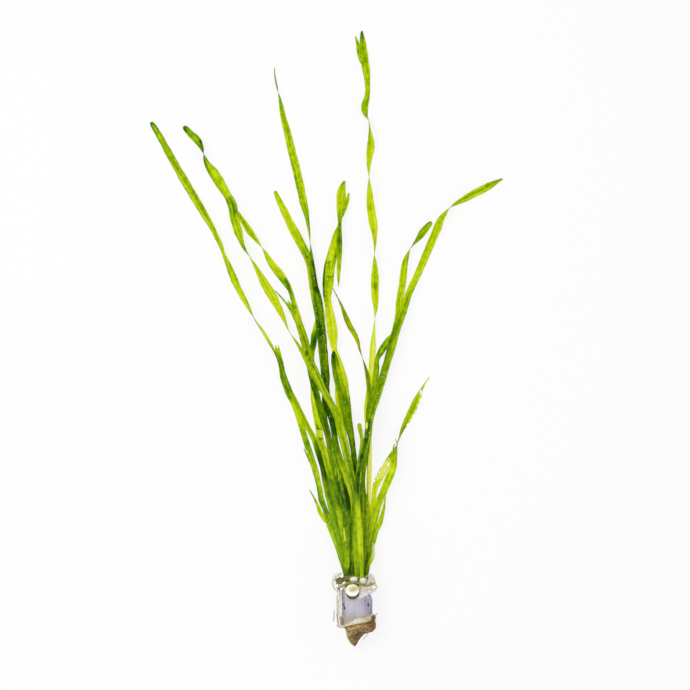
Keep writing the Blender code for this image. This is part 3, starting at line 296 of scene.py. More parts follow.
# How a blade's colour runs along it: photograph row and tone, from -1 (almost black green) through 0 (olive),
# 1 (mid green), 2 (lime), 3 (yellow lime) and 4 (pale) to 5 (bleached)
TONES = {
    "leaf_01": [
        (490, 1), (500, 1.2), (506, 1.9), (518, 2.2), (524, 2.6), (536, 2.4), (548, 2.7), (556, 1.8),
        (566, 1.2), (574, 0.8),
    ],
    "leaf_02": [(490, 2), (500, 1.2), (512, 1.6), (522, 2.4), (535, 2.2), (550, 1.6), (574, 0.6)],
    "leaf_03": [
        (30, 0.9), (45, 1.5), (60, 1.8), (90, 1.9), (115, 1.4), (150, 1.8), (175, 1.5), (205, 2.2),
        (230, 2.5), (255, 2), (285, 2.4), (315, 2.2), (325, 2.9), (350, 3.2), (372, 3), (385, 2.4),
        (425, 2.6), (442, 3.9), (452, 4.3), (496, 4.3), (505, 3.2), (520, 2.4), (574, 0.9),
    ],
    "leaf_04": [
        (446, 1.2), (455, 1.4), (462, 2.2), (478, 2.4), (490, 2.8), (500, 3), (515, 2.4), (530, 1.8),
        (574, 0.9),
    ],
    "leaf_05": [
        (344, 2.4), (352, 1.9), (360, 1.1), (372, 0.9), (390, 1.1), (398, 1.1), (403, 2.2), (418, 2.2),
        (430, 1.5), (450, 1.6), (470, 1.9), (490, 1.4), (503, 0.8), (515, 0.5), (525, 1.2), (540, 1.6),
        (556, 1.5), (574, 0.7),
    ],
    "leaf_06": [
        (121, 0.2), (127, 0.7), (135, 1.3), (180, 1.4), (240, 1.8), (285, 2.4), (305, 2.2), (318, 0.9),
        (328, 1.6), (336, 2.6), (343, 1.9), (352, 1.1), (365, 0.4), (375, 0.9), (392, 1), (402, 1.8),
        (425, 1.7), (440, 1.3), (446, 0.2), (452, -0.3), (474, -0.3), (482, 0.7), (500, 0.9), (520, 1.2),
        (540, 1.2), (574, 0.6),
    ],
    "leaf_07": [
        (377, 1.9), (388, 1.6), (395, 1.8), (415, 1.9), (430, 1.3), (440, 1.6), (448, 1), (458, 1.7),
        (470, 2.3), (490, 1.9), (510, 2.1), (530, 1.8), (545, 1.5), (560, 0.5), (574, 0.3),
    ],
    "torn_stub": [(543, 4.9), (556, 4.6), (560, 2.8), (566, 2), (573, 0.9)],
    "leaf_08": [
        (306, 1.6), (316, 2.2), (328, 2), (336, -0.2), (344, 0.2), (350, 1.2), (360, 1.9), (385, 2.3),
        (440, 2.3), (470, 2), (482, 0.7), (505, 0.6), (512, 1.4), (528, 1.8), (540, 1), (574, 0.6),
    ],
    "leaf_09": [(288, 1.5), (305, 1.2), (320, 1.4), (340, 1.5), (352, 1.5), (370, 1), (400, 1.1), (574, 1)],
    "leaf_10": [
        (67, 0.6), (95, 1.1), (120, 1.7), (160, 1.8), (205, 1.7), (240, 1.2), (262, 0.7), (330, 0.3),
        (400, 0.3), (460, 1), (500, 0.6), (520, 0.8), (545, 0.6), (574, 0.5),
    ],
    "leaf_11": [
        (192, 1.6), (215, 1.9), (245, 1.9), (258, 1.5), (300, 1.6), (318, 0.9), (335, 0.6), (360, 0.7),
        (385, 0.2), (400, -0.4), (430, -0.4), (440, 0.7), (452, 1), (460, 1.4), (468, 2.1), (490, 2.3),
        (500, 1.6), (512, 2), (545, 2.4), (556, 2), (566, 1.6), (574, 1),
    ],
    "leaf_12": [
        (335, 1.6), (345, 0.9), (362, 0.9), (385, 1.6), (420, 1.5), (460, 1.2), (490, 0.6), (510, 0.9),
        (530, 1.2), (574, 0.9),
    ],
    "leaf_13": [
        (221, 0.9), (230, 1.5), (245, 1.2), (270, 2.1), (300, 2.1), (325, 1.2), (345, 1), (380, 1.4),
        (400, 1.9), (420, 1.3), (435, 1), (452, 1.1), (480, 0.6), (500, 0.9), (530, 1.3), (550, 1.4),
        (574, 0.9),
    ],
    "leaf_14": [(370, 1.8), (385, 3), (412, 3), (425, 1.8), (480, 0.4), (574, 0.4)],
    "leaf_15": [
        (192, 1.5), (206, 2), (222, 1.8), (250, 2.1), (300, 2.1), (308, 2.7), (340, 2.6), (352, 2.5),
        (370, 1.9), (400, 1.4), (420, 0.9), (480, 0.3), (510, 0.4), (540, 0.6), (574, 0.4),
    ],
    "leaf_16": [
        (350, -0.3), (362, 0.2), (368, 1.2), (390, 1.5), (400, 1.1), (430, 0.9), (460, 0.3), (490, -0.6),
        (508, -0.5), (520, 0.2), (540, 0.1), (556, 0.1), (574, 0),
    ],
    "leaf_17": [
        (290, 0.9), (315, 1.2), (345, 1.6), (362, 0.9), (378, 0.3), (405, 0.6), (430, 1), (445, 1.1),
        (470, 0.5), (490, 0), (505, 0), (520, 0.3), (530, 0.6), (545, 0.5), (556, 1.1), (566, 1.5),
        (570, 0.3), (574, 0.3),
    ],
    "leaf_18": [(424, 2.3), (460, 2.1), (480, 0.6), (500, 1), (530, 2.2), (574, 1.5)],
    "leaf_19": [
        (126, 0.7), (131, 1.5), (140, 1.9), (148, 1.5), (158, 1.1), (166, 1.4), (185, 1.7), (200, 1.7),
        (235, 1.9), (250, 1.3), (270, 2.3), (310, 2.4), (330, 2.6), (340, 1.6), (355, 2), (400, 2.1),
        (440, 2), (460, 1.5), (470, 0.8), (490, 0.7), (505, 1.4), (520, 1.6), (574, 0.5),
    ],
    "leaf_20": [
        (178, 1.2), (192, 1.9), (207, 1.4), (225, 1.8), (280, 2.1), (325, 1.4), (345, 1.5), (395, 1.8),
        (415, 1.4), (424, 1.1), (448, 1.2), (470, 0.9), (495, 0.9), (502, 1.3), (520, 1.6), (545, 1.7),
        (556, 1.4), (574, 1.1),
    ],
    "leaf_21": [
        (210, 1.9), (240, 2), (262, 2), (275, 1.5), (282, 0.7), (292, 1), (300, 1.7), (325, 1.9), (365, 1.8),
        (385, 1.7), (440, 1.8), (452, 1.6), (462, 0.9), (474, 0.4), (490, 0.4), (500, 1.2), (506, 2.3),
        (515, 2.8), (545, 2.9), (553, 2.1), (574, 1.3),
    ],
    "broken_blade": [(180, 1.4), (190, 2.2), (212, 2.4), (225, 1.2), (240, 1), (262, 1.6), (286, 1.4)],
    "inner_sheath": [(548, 0.4), (566, -0.3), (577, -0.6)],
}

# Marks of another tone, a few of them painted shade and painted highlights: photograph pixels from (x, y) to
# (x, y), radius in pixels, and the change of tone
MARKS = {
    "leaf_01": [(329, 527, 340, 552, 0.9, 0.8), (336, 545, 340.5, 552, 1.3, 1.2)],
    "leaf_03": [
        (367.4, 446, 367.6, 498, 0.7, -1.7), (375, 285, 375, 286, 3, -0.4), (371, 206, 371, 207, 3, -0.4),
        (366, 60, 366, 61, 3, -0.3),
    ],
    "leaf_04": [(377.5, 478, 388, 463, 2.2, 1.3)],
    "leaf_05": [
        (283, 370, 285, 376, 2.2, -0.5), (287, 386, 289, 392, 2.2, -0.5), (306, 443, 306.6, 446, 2.4, -0.6),
    ],
    "leaf_06": [
        (151, 122, 151, 123, 2.2, -0.4), (187, 184, 188, 188, 3.4, 0.3), (224, 262, 246, 302, 3, -0.4),
    ],
    "leaf_07": [
        (412, 412, 413, 410, 2.4, -0.4), (392, 468, 391.6, 472, 3, 0.7), (386, 486, 385, 490, 3, 0.3),
        (375.6, 498, 367, 520, 0.9, 1), (366, 554, 366, 560, 2.4, -0.2),
    ],
    "leaf_08": [
        (320.8, 431.6, 320.8, 436, 1.9, 0.9), (317.6, 428.6, 323.6, 429.6, 0.6, -1.8),
        (318.6, 438.4, 324.2, 438.9, 0.6, -1.5), (317, 424.6, 317.3, 429, 0.6, -1.5),
    ],
    "leaf_11": [
        (312.6, 262, 316, 290, 2.2, -0.8), (316, 290, 319, 340, 2.6, -0.6), (304, 250, 308, 257, 2.4, -0.5),
        (320, 328, 320.5, 334, 2.4, -0.5), (328, 408, 330, 420, 2.4, -0.5),
    ],
    "leaf_12": [(378, 352, 378, 353, 2.4, -0.5), (363.4, 498, 363.8, 516, 0.5, 1.5)],
    "leaf_13": [(366.4, 423.6, 366.3, 427.8, 0.9, 4)],
    "leaf_15": [
        (325.4, 263.6, 329, 262.2, 0.55, -1.2), (329, 262.2, 331.8, 261, 0.55, -1),
        (326.2, 276.2, 330.2, 277.5, 0.55, -1.3), (330.2, 277.5, 333.2, 275.2, 0.55, -1.2),
        (328.9, 263.4, 328.9, 270, 0.4, -0.8), (323.9, 266, 323.7, 296, 1.1, -1.4),
        (330.2, 255, 330.6, 258, 1.4, 0.8), (334.6, 246, 335.4, 262, 0.8, -0.6),
        (341.5, 362, 345.5, 384, 1.4, 0.4),
    ],
    "leaf_10": [
        (347, 488, 349.4, 508, 2.2, -0.9), (312.8, 262, 316.6, 290, 2.4, -0.7),
        (316.6, 290, 320, 345, 2.8, -0.5),
    ],
    "leaf_16": [(333.6, 352, 333.8, 355, 2.2, -0.5), (348, 490, 349.5, 508, 2, -0.6)],
    "leaf_17": [
        (345.4, 486, 348.4, 508, 2, -0.9), (338.7, 467, 338.8, 480, 0.4, 2),
        (335.6, 468, 335.4, 476, 0.6, 1.2), (340.5, 472, 340.6, 478, 0.4, 2.4),
        (343.4, 528, 345.2, 540, 0.7, 2.6), (347.6, 549, 348.6, 567, 1.1, 0.4),
        (350.4, 505, 350.2, 522, 0.5, 1.6), (313, 380, 316, 398, 2.4, -0.4),
    ],
    "leaf_19": [
        (184, 127.4, 185.6, 131, 1.6, -0.7), (196, 132, 200.6, 141, 1.5, -0.9),
        (200.6, 141, 203.4, 151, 1.5, -0.9), (230.6, 200, 235.6, 213, 3.6, -0.7),
        (213.4, 173, 214, 175, 2.6, 0.7), (245.4, 247.4, 245.6, 248.6, 1.8, -0.6),
    ],
    "leaf_20": [
        # The first two marks are painted shade above the kink near (393, 340) and a painted highlight on it
        (393.6, 328, 389.6, 342, 1.8, -0.8), (393.6, 341, 392.6, 347, 1.3, 0.9),
        (386.6, 350, 379.6, 388, 1.5, -0.4), (380.6, 385, 376.6, 398, 1.5, -0.3),
        (375.8, 402, 372.6, 413, 1.2, -0.6), (375, 378, 371, 402, 1.6, 0.5),
        # The dark marks from (369.8, 421) down to (356.8, 494) are painted shade where this blade lies over
        # the edge of leaf_13
        (366.6, 423.6, 366.5, 427.8, 0.9, 4), (369.8, 421, 365.8, 440, 1.9, -0.8),
        (365.8, 440, 362, 456, 1.9, -1.1), (362, 456, 358.4, 474, 1.6, -1.3),
        (352.6, 505, 352.4, 548, 1.7, -0.7), (358.4, 474, 356.8, 494, 1.5, -1.2),
        (360.8, 472, 360.6, 482, 0.4, 1.6), (362.4, 486, 363.2, 508, 0.4, 1.4),
    ],
    "leaf_21": [
        (286.2, 279, 287, 283, 1.8, -0.5), (288.2, 286, 294.6, 312, 1.6, -0.6),
        (306.2, 352.6, 306.8, 354.6, 1.3, -1.2), (345, 462, 348.4, 474, 1.4, 0.8),
        (350, 478, 352.6, 492, 1.2, 0.7), (353.4, 470, 354.6, 480, 0.4, 1.2), (361, 506, 362, 545, 0.8, -1.2),
        (356.6, 512, 357.6, 540, 0.6, -0.7),
    ],
}
MARK_REACH = 1.6
MARK_STRENGTH = 1.2

# Where white flecks lie thickest: photograph rows. The flecks are lime specks and painted glints of small
# bubbles
SPECK_AND_GLINT_ROWS = {
    "leaf_03": (20, 60), "leaf_05": (500, 520), "leaf_04": (455, 500), "leaf_06": (120, 140),
    "leaf_10": (300, 430), "leaf_11": (250, 440), "leaf_13": (405, 440), "leaf_15": (350, 480),
    "leaf_16": (350, 480), "leaf_17": (370, 520), "leaf_19": (120, 260), "leaf_20": (330, 440),
    "leaf_21": (280, 400),
}

# Torn edges and holes: photograph pixels (x, y) and half sizes of an ellipse where the blade is gone
CUTS = {
    "leaf_01": [(324.6, 524.6, 2, 1.8)],
    "leaf_04": [
        (374.2, 481, 1.1, 1.6), (376.2, 474.6, 1.2, 1.4), (380.8, 466.6, 1.2, 1.2), (388.4, 465, 1, 1.8),
    ],
    "leaf_05": [
        (277.2, 345.4, 1, 2.8), (280.6, 346.4, 1.2, 1.8), (304.2, 452.4, 3.2, 2.2), (302.6, 444.6, 1.2, 1.6),
        (316.6, 492.6, 0.9, 1.6),
    ],
    "leaf_09": [(365.8, 472, 1, 14)],
    "leaf_12": [(365.8, 474, 1.1, 15), (366.4, 490.5, 0.7, 4)],
    "leaf_07": [
        (421.8, 400.5, 2.4, 2.2), (418.6, 405.8, 1.6, 1.4), (417.8, 411.6, 2.4, 1.8),
        (413.6, 415.8, 1.5, 1.6), (412.6, 421, 2.2, 2.2), (408.2, 424.8, 1.6, 1.6), (407.6, 429.8, 1.9, 2),
        (421.2, 392.4, 1.1, 2.6), (403.6, 436.4, 1.2, 1.2),
    ],
    "torn_stub": [(374.8, 561.5, 1.4, 1.6), (371.4, 551.6, 0.9, 1.8), (375.8, 551, 1, 1.4)],
    "leaf_16": [(331.4, 351.4, 0.9, 2.6), (333.4, 350.2, 0.7, 1.6), (335.4, 350.4, 0.8, 2.2)],
    "leaf_17": [(285.6, 300.6, 0.8, 1.2), (292.4, 307.8, 0.8, 1.4)],
}

# Torn lace: rows of the photograph where a blade has small ragged holes, and how easily a hole opens
LACE = {
    "leaf_01": (541, 553, 0.34), "leaf_04": (458, 484, 0.34), "torn_stub": (544, 558, 0.4),
}
LACE_SCALES = (0.7, 0.45)

# Where a blade is browner than green: rows of the photograph
OLIVE = {
    "inner_sheath": (540, 600), "leaf_04": (556, 590), "leaf_08": (550, 590), "leaf_09": (270, 400),
    "leaf_16": (548, 600),
}

# How much light a blade gives back instead of letting it through: rows of the photograph and share. Towards
# the base the blades grow thick and firm
BASE_SOLID = [(430, 0), (490, 0.6), (520, 0.85), (574, 0.9)]
SOLID = {
    "leaf_20": [(390, 0), (420, 0.6), (520, 0.9), (574, 0.9)],
    "leaf_21": [(340, 0), (375, 0.5), (440, 0.6), (520, 0.9), (574, 0.95)],
    "leaf_01": [(505, 0), (545, 0.3), (574, 0.7)],
    "leaf_02": [(510, 0), (545, 0.3), (574, 0.6)],
    "leaf_03": [(495, 0), (520, 0.5), (574, 0.9)],
    "leaf_04": [(490, 0), (520, 0.3), (574, 0.7)],
    "leaf_07": [(470, 0), (515, 0.4), (574, 0.8)],
    "torn_stub": [(543, 0), (574, 0)],
    "inner_sheath": [(548, 0.9), (580, 0.9)],
}

# Slivers that stand off a torn blade: the blade, and stations as in LEAVES
SLIVERS = {
    "sliver_03": ("leaf_03", [
        (361.2, 63, 1.2), (359.4, 56, 3.6), (358.2, 47, 4.2), (356.8, 40, 2.8), (355.4, 35.6, 0.8),
    ]),
    "sliver_04": ("leaf_04", [(393.4, 451, 0.8), (393.6, 447.4, 1.8), (394.8, 443.6, 0.8)]),
    "sliver_05": ("leaf_05", [
        (309.6, 462, 1.6), (307.6, 457, 1.6), (305.6, 452.4, 1.6), (303.8, 448.8, 0.6),
    ]),
    "sliver_07": ("leaf_07", [(397.6, 445.6, 0.8), (396.6, 442, 1.2), (395.6, 438.6, 0.5)]),
    "sliver_17": ("leaf_17", [(293, 309.5, 1.4), (290, 304.6, 2.8), (287.6, 300.4, 0.8)]),
}

# A short inner sheath between the leaf bases: stations and height in millimetres
INNER_SHEATH = [(352.4, 577, 5), (352.2, 570, 5), (352.2, 562, 3.6), (352.2, 554, 2.2), (352.2, 547, 0.8)]
SHEATH_HEIGHT = 16.4


def run_lengths(points):
    """How far along its line each point lies."""
    return np.concatenate([[0], np.cumsum(np.linalg.norm(np.diff(points, axis=0), axis=1))])


def unit(vectors):
    return vectors / np.linalg.norm(vectors, axis=1)[:, None]


def smooth_curve(knots, points, at):
    """Points at the places asked for, on a smooth curve through (knots, points)."""
    slopes = np.gradient(points, knots, axis=0)
    index = np.clip(np.searchsorted(knots, at, side="right") - 1, 0, len(knots) - 2)
    span = (knots[index + 1] - knots[index])[:, None]
    t = (at - knots[index])[:, None] / span
    return (
        points[index] * (1 + 2 * t) * (1 - t) ** 2
        + slopes[index] * span * t * (1 - t) ** 2
        + points[index + 1] * t * t * (3 - 2 * t)
        - slopes[index + 1] * span * t * t * (1 - t)
    )


def blade_width_and_twist(knots, seen):
    """The real width and the twist at each station. Between two twists the blade turns by half a turn."""
    twists = [i for i, width in enumerate(seen) if width == 0]
    starts = [0, *(i + 1 for i in twists)]
    ends = [*twists, len(seen)]
    widest = [start + int(np.argmax(seen[start:end])) for start, end in zip(starts, ends)]
    width = np.interp(knots, [knots[i] for i in widest], [seen[i] for i in widest])
    width[: widest[0]] = seen[: widest[0]]
    width[widest[-1] :] = seen[widest[-1] :]
    width = np.maximum(width, seen)
    lean = np.arccos(np.clip(np.asarray(seen) / width, 0, 1))
    twist = np.zeros(len(seen))
    for half_turn, (start, end, most) in enumerate(zip(starts, ends, widest)):
        for i in range(start, end):
            twist[i] = half_turn * math.pi + (lean[i] if i > most else -lean[i])
    for half_turn, i in enumerate(twists):
        twist[i] = (half_turn + 0.5) * math.pi
    return width, twist


def softened(values, reach, rising=False):
    """A weighted mean over reach steps each way. If rising, it stays above the values everywhere."""
    padded = np.pad(values, reach, mode="edge")
    windows = np.lib.stride_tricks.sliding_window_view(padded, 2 * reach + 1)
    if rising:
        padded = np.pad(windows.max(axis=1), reach, mode="edge")
        windows = np.lib.stride_tricks.sliding_window_view(padded, 2 * reach + 1)
    weights = np.hanning(2 * reach + 3)[1:-1]
    return windows @ (weights / weights.sum())


def place(x, y, height):
    """A photograph pixel and a height in millimetres as a point."""
    return np.array(((x - POT_CENTRE[0]) * PIXEL, (POT_CENTRE[1] - y) * PIXEL, height * MM))


def to_pixels(points):
    """Points back to pixels of the photograph."""
    return POT_CENTRE[0] + points[..., 0] / PIXEL, POT_CENTRE[1] - points[..., 1] / PIXEL


class Blade:
    """One leaf as rows sampled along it: place, heading, width, twist and thickness."""

    def __init__(self, name, stations, left_handed=False):
        self.name = name
        plan = np.array([place(x, y, 0)[:2] for x, y, _ in stations])
        knots = run_lengths(plan)
        self.count = int(knots[-1] / LAY_STEP) + 2
        self.along = np.linspace(0, knots[-1], self.count)
        self.plan = smooth_curve(knots, plan, self.along)
        width, twist = (
            softened(np.interp(self.along, knots, part), SOFTENED_ROWS)
            for part in blade_width_and_twist(knots, [seen for _, _, seen in stations])
        )
        self.width = width * PIXEL
        self.twist = -twist if left_handed else twist
        heading = unit(np.gradient(self.plan, axis=0))
        self.side = np.stack([heading[:, 1], -heading[:, 0]], axis=1)
        thick = np.clip(1 - self.along / THICK_LENGTH, 0, 1)
        thickness = BLADE_THICKNESS + (BASE_THICKNESS - BLADE_THICKNESS) * thick
        self.rise = self.width / 2 * np.abs(np.sin(self.twist)) + thickness / 2
        self.reach = self.width / 2 * np.abs(np.cos(self.twist)) + thickness / 2

    def footprint(self, corner, i):
        """The cells of the height field that row i covers."""
        steps = int(2 * self.reach[i] / LAY_CELL) + 3
        across = np.linspace(-self.reach[i], self.reach[i], steps)
        places = self.plan[i] + across[:, None] * self.side[i]
        cells = ((places - corner) / LAY_CELL).astype(int)
        return tuple(np.concatenate([cells + step for step in CROSS]).T)

    def lay(self, top, corner, base_height):
        """Sets the heights: the blade rests on what is below it and leaves its crown at base_height."""
        cells = [self.footprint(corner, i) for i in range(self.count)]
        below = np.array([top[spots].max() for spots in cells])
        lowest = below + np.where(below > 0, LAY_GAP, 0) + self.rise
        fall = np.clip(self.along / FALL_LENGTH, 0, 1)
        held = base_height * (1 - fall * fall * (3 - 2 * fall))
        self.height = softened(np.maximum(lowest, held), int(LAY_REACH / LAY_STEP), rising=True)
        for spots, reached in zip(cells, self.height + self.rise):
            top[spots] = np.maximum(top[spots], reached)

    def frames(self):
        """Centre, direction across the blade and normal for each row."""
        centre = np.column_stack([self.plan, self.height])
        forward = unit(np.gradient(centre, axis=0))
        side = np.column_stack([self.side, np.zeros(self.count)])
        upward = np.cross(side, forward)
        cosine, sine = np.cos(self.twist)[:, None], np.sin(self.twist)[:, None]
        return centre, side * cosine + upward * sine, upward * cosine - side * sine


def linear(seen):
    """Linear values of a colour given as it is seen on a screen, 0 to 255."""
    share = np.array(seen) / 255
    return np.where(share <= 0.04045, share / 12.92, ((share + 0.055) / 1.055) ** 2.4)


def opaque(*seen):
    return (*linear(seen), 1)


class Value:
    """What a node gives out. Sums with it make Math nodes."""

    def __init__(self, surface, socket):
        self.surface, self.socket = surface, socket

    def __add__(self, other):
        return self.surface.maths("ADD", self, other)

    def __sub__(self, other):
        return self.surface.maths("SUBTRACT", self, other)

    def __rsub__(self, other):
        return self.surface.maths("SUBTRACT", other, self)

    def __mul__(self, other):
        return self.surface.maths("MULTIPLY", self, other)

    def __truediv__(self, other):
        return self.surface.maths("DIVIDE", self, other)

    def __pow__(self, other):
        return self.surface.maths("POWER", self, other)

    def __gt__(self, other):
        return self.surface.maths("GREATER_THAN", self, other)

    def __abs__(self):
        return self.surface.maths("ABSOLUTE", self)


class Surface:
    """A material with short forms for its nodes."""

    def __init__(self, name, fixed):
        self.material = bpy.data.materials.new(name)
        self.material.use_nodes = True
        self.tree = self.material.node_tree
        self.shader = self.tree.nodes["Principled BSDF"]
        self.feed(self.shader, fixed)

    def feed(self, node, inputs):
        for key, value in inputs.items():
            if isinstance(value, Value):
                self.tree.links.new(value.socket, node.inputs[key])
            else:
                node.inputs[key].default_value = value

    def add(self, kind, inputs, output=0, **settings):
        """What a new node gives out, or a list where several outputs are named."""
        node = self.tree.nodes.new("ShaderNode" + kind)
        for key, value in settings.items():
            setattr(node, key, value)
        self.feed(node, inputs)
        if isinstance(output, tuple):
            return [Value(self, node.outputs[key]) for key in output]
        return Value(self, node.outputs[output])

    def maths(self, operation, first, second=0.0, clamp=False):
        return self.add("Math", {0: first, 1: second}, operation=operation, use_clamp=clamp)

    def stretched(self, vector, factors):
        return self.add("VectorMath", {0: vector, 1: factors}, operation="MULTIPLY")

    def places(self):
        """Object coordinates in millimetres."""
        return self.stretched(self.add("TexCoord", {}, "Object"), (1 / MM, 1 / MM, 1 / MM))

    def attribute(self, name, output="Fac"):
        return self.add("Attribute", {}, output, attribute_name=name)

    def distance(self, vector, middle, factors):
        """How far places are from a middle, with each axis stretched by its factor."""
        apart = self.add("VectorMath", {0: vector, 1: tuple(middle)}, operation="SUBTRACT")
        return self.add("VectorMath", {0: self.stretched(apart, factors)}, "Value", operation="LENGTH")

    def noise(self, vector, scale, detail, roughness=0.5, distortion=0.0):
        """Clouds from 0 to 1. Three scales stretch them along the axes."""
        if isinstance(scale, tuple):
            vector, scale = self.stretched(vector, scale), 1.0
        inputs = {"Vector": vector, "Scale": scale, "Detail": detail, "Roughness": roughness}
        return self.add("TexNoise", {**inputs, "Distortion": distortion}, "Fac")

    def spread(self, value, low, high, to_low=0.0, to_high=1.0):
        """Carries low to high over to to_low to to_high, smoothly and with no overshoot."""
        inputs = {"Value": value, "From Min": low, "From Max": high, "To Min": to_low, "To Max": to_high}
        return self.add("MapRange", inputs, interpolation_type="SMOOTHSTEP")

    def ramp(self, value, stops, colour_of=linear):
        """A colour that runs through stops of (position, colour as it is seen on a screen)."""
        made = self.add("ValToRGB", {"Fac": value}, "Color")
        points = made.socket.node.color_ramp.elements
        while len(points) < len(stops):
            points.new(1.0)
        for point, (position, seen) in zip(points, stops):
            point.position = position
            point.color = (*colour_of(seen), 1)
        return made

    def blend(self, share, first, second, kind="MIX"):
        return self.add("Mix", {0: share, 6: first, 7: second}, 2, data_type="RGBA", blend_type=kind)

    def tinted(self, colour, factors):
        return self.blend(1.0, colour, (*factors, 1), "MULTIPLY")

    def finished(self, colour, height, depth, through=None):
        """The material with its colour, bumps up to depth, and a share of light that comes through."""
        bump = self.add("Bump", {"Height": height, "Distance": depth, "Strength": 1.0}, "Normal")
        self.feed(self.shader, {"Base Color": colour, "Normal": bump})
        if through is not None:
            light = self.add("BsdfTranslucent", {"Color": colour})
            mixed = self.add("MixShader", {0: through, 1: Value(self, self.shader.outputs[0]), 2: light})
            self.feed(self.tree.nodes["Material Output"], {"Surface": mixed})
        return self.material


# What a blade looks like at each tone from -1 to 5 when light comes through it
TONE_COLOURS = [
    (34, 80, 0), (84, 132, 0), (148, 186, 0), (204, 222, 6), (230, 238, 46), (240, 243, 140), (252, 250, 220),
]
LOWEST_TONE = -1
USUAL_TONE = 1.8

# A firm blade is lit from above only, so its own colour is a little stronger
FIRM_TINT = np.array((0.92, 1.0, 0.3))
OLIVE_TINT = (1.1, 0.93, 1.1)
# White of the flecks, which are lime specks and painted glints of small bubbles
SPECK_AND_GLINT_COLOUR = (252, 255, 244)

# By how much each pattern of a blade shifts its tone
STREAK_SHIFT = 4.6
MOTTLE_SHIFT = 3.6
PATCH_SHIFT = 1.0
RIB_SHIFT = 0.75
EDGE_SHIFT = 0.25
LADDER_SHIFT = 0.22


def face_colour(seen):
    """The tint of one face of a blade that is to be seen in this colour: light passes both of its faces."""
    through = BLADE_THROUGH**2
    reflected = 2 * (1 - BLADE_THROUGH) * (ROOM_LIGHT + KEY_SHARE)
    return (-reflected + np.sqrt(reflected**2 + 4 * through * linear(seen))) / (2 * through)


def firm_colour(seen):
    return linear(seen) * FIRM_TINT


def blade_surface():
    """A thin wet blade: long veins with a ladder of cells between them, mottled, with white flecks that are
    lime specks and painted glints of small bubbles.
    """
    made = Surface("leaf_blade", {"Roughness": 0.42, "IOR": 1.4, "Specular IOR Level": 0.2})
    spot = made.attribute("place", "Vector")
    share, tone, flecked, solid, olive = map(made.attribute, ("share", "tone", "flecked", "solid", "olive"))

    streaks = made.noise(spot, (0.7, 0.022, 1), 3, 0.6)
    mottle = made.noise(spot, (0.46, 0.28, 1), 4, 0.65)
    patches = made.noise(spot, (0.07, 0.035, 1), 1)
    rungs = {"Scale": 0.62, "Mortar Size": 0.035, "Mortar Smooth": 0.6}
    ladder = made.add("TexBrick", {"Vector": made.stretched(spot, (0.3, 1.0, 1)), **rungs}, "Fac")
    shows = made.spread(made.noise(spot, (0.02, 0.03, 1), 1), 0.42, 0.62)
    rib = made.spread(abs(share), 0.02, 0.2, 1, 0) * shows
    edge = made.spread(abs(share), 0.72, 1.0)

    shift = (streaks - 0.5) * STREAK_SHIFT + (mottle - 0.5) * MOTTLE_SHIFT
    shift = shift + (patches - 0.5) * PATCH_SHIFT - rib * RIB_SHIFT
    shift = shift - edge * EDGE_SHIFT - ladder * LADDER_SHIFT
    position = (tone + shift - LOWEST_TONE) / (len(TONE_COLOURS) - 1)
    stops = list(zip(np.linspace(0, 1, len(TONE_COLOURS)), TONE_COLOURS))
    soft, firm = (made.ramp(position, stops, colour_of) for colour_of in (face_colour, firm_colour))
    green = made.blend(solid, soft, firm)
    green = made.blend(olive, green, made.tinted(green, OLIVE_TINT))

    # Flecks, lime specks and painted glints of small bubbles: dots in some of the cells, each of its own size
    # and strength
    shake = made.add("TexNoise", {"Vector": spot, "Scale": 1.6, "Detail": 2.0}, "Color")
    bent = made.add("VectorMath", {0: spot, 1: made.stretched(shake, (0.8, 0.8, 0))})
    away, lots = made.add("TexVoronoi", {"Vector": bent, "Scale": 1.0, "Randomness": 1.0},
                          ("Distance", "Color"))
    chance, size, strength = made.add("SeparateColor", {0: lots}, (0, 1, 2))
    size = size * 0.22 + 0.1
    dot = made.spread(away, size, size + 0.12, 1, 0)
    speck_and_glint = (chance > 0.996 - flecked * 0.1) * dot * made.maths("ADD", strength**2.5, 0.18, clamp=True)
    colour = made.blend(speck_and_glint, green, opaque(*SPECK_AND_GLINT_COLOUR))

    relief = streaks * 0.6 + mottle * 0.4 - ladder * 0.3
    through = (1.0 - speck_and_glint) * (BLADE_THROUGH - solid * (BLADE_THROUGH - SOLID_THROUGH))
    return made.finished(colour, relief, 0.08 * MM, through)


def linked(name, data):
    """A new object in the scene."""
    made = bpy.data.objects.new(name, data)
    bpy.context.collection.objects.link(made)
    return made


def add_mesh(name, points, faces, surface, values=None):
    """A shaded mesh object. Values are numbers or vectors for each point, by attribute name."""
    mesh = bpy.data.meshes.new(name)
    mesh.from_pydata(np.asarray(points).tolist(), [], [tuple(face) for face in faces])
    for key, numbers in (values or {}).items():
        kind, field = ("FLOAT", "value") if numbers.ndim == 1 else ("FLOAT_VECTOR", "vector")
        mesh.attributes.new(key, kind, "POINT").data.foreach_set(field, numbers.ravel())
    shape = bmesh.new()
    shape.from_mesh(mesh)
    bmesh.ops.recalc_face_normals(shape, faces=shape.faces)
    shape.to_mesh(mesh)
    shape.free()
    mesh.materials.append(surface)
    mesh.shade_smooth()
    return linked(name, mesh)


def belongs(piece, slot, *nodes):
    """The piece rides on the plant's one body and stands for these solids. The slot is not used."""
    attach(piece, "root")
    if nodes:
        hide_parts(*nodes)


def wander(along, seed, length):
    """Smooth noise from -1 to 1 along a blade."""
    return np.array([noise.noise((spot / length, seed * SEED_STEP, 0.0)) * 2 for spot in along])


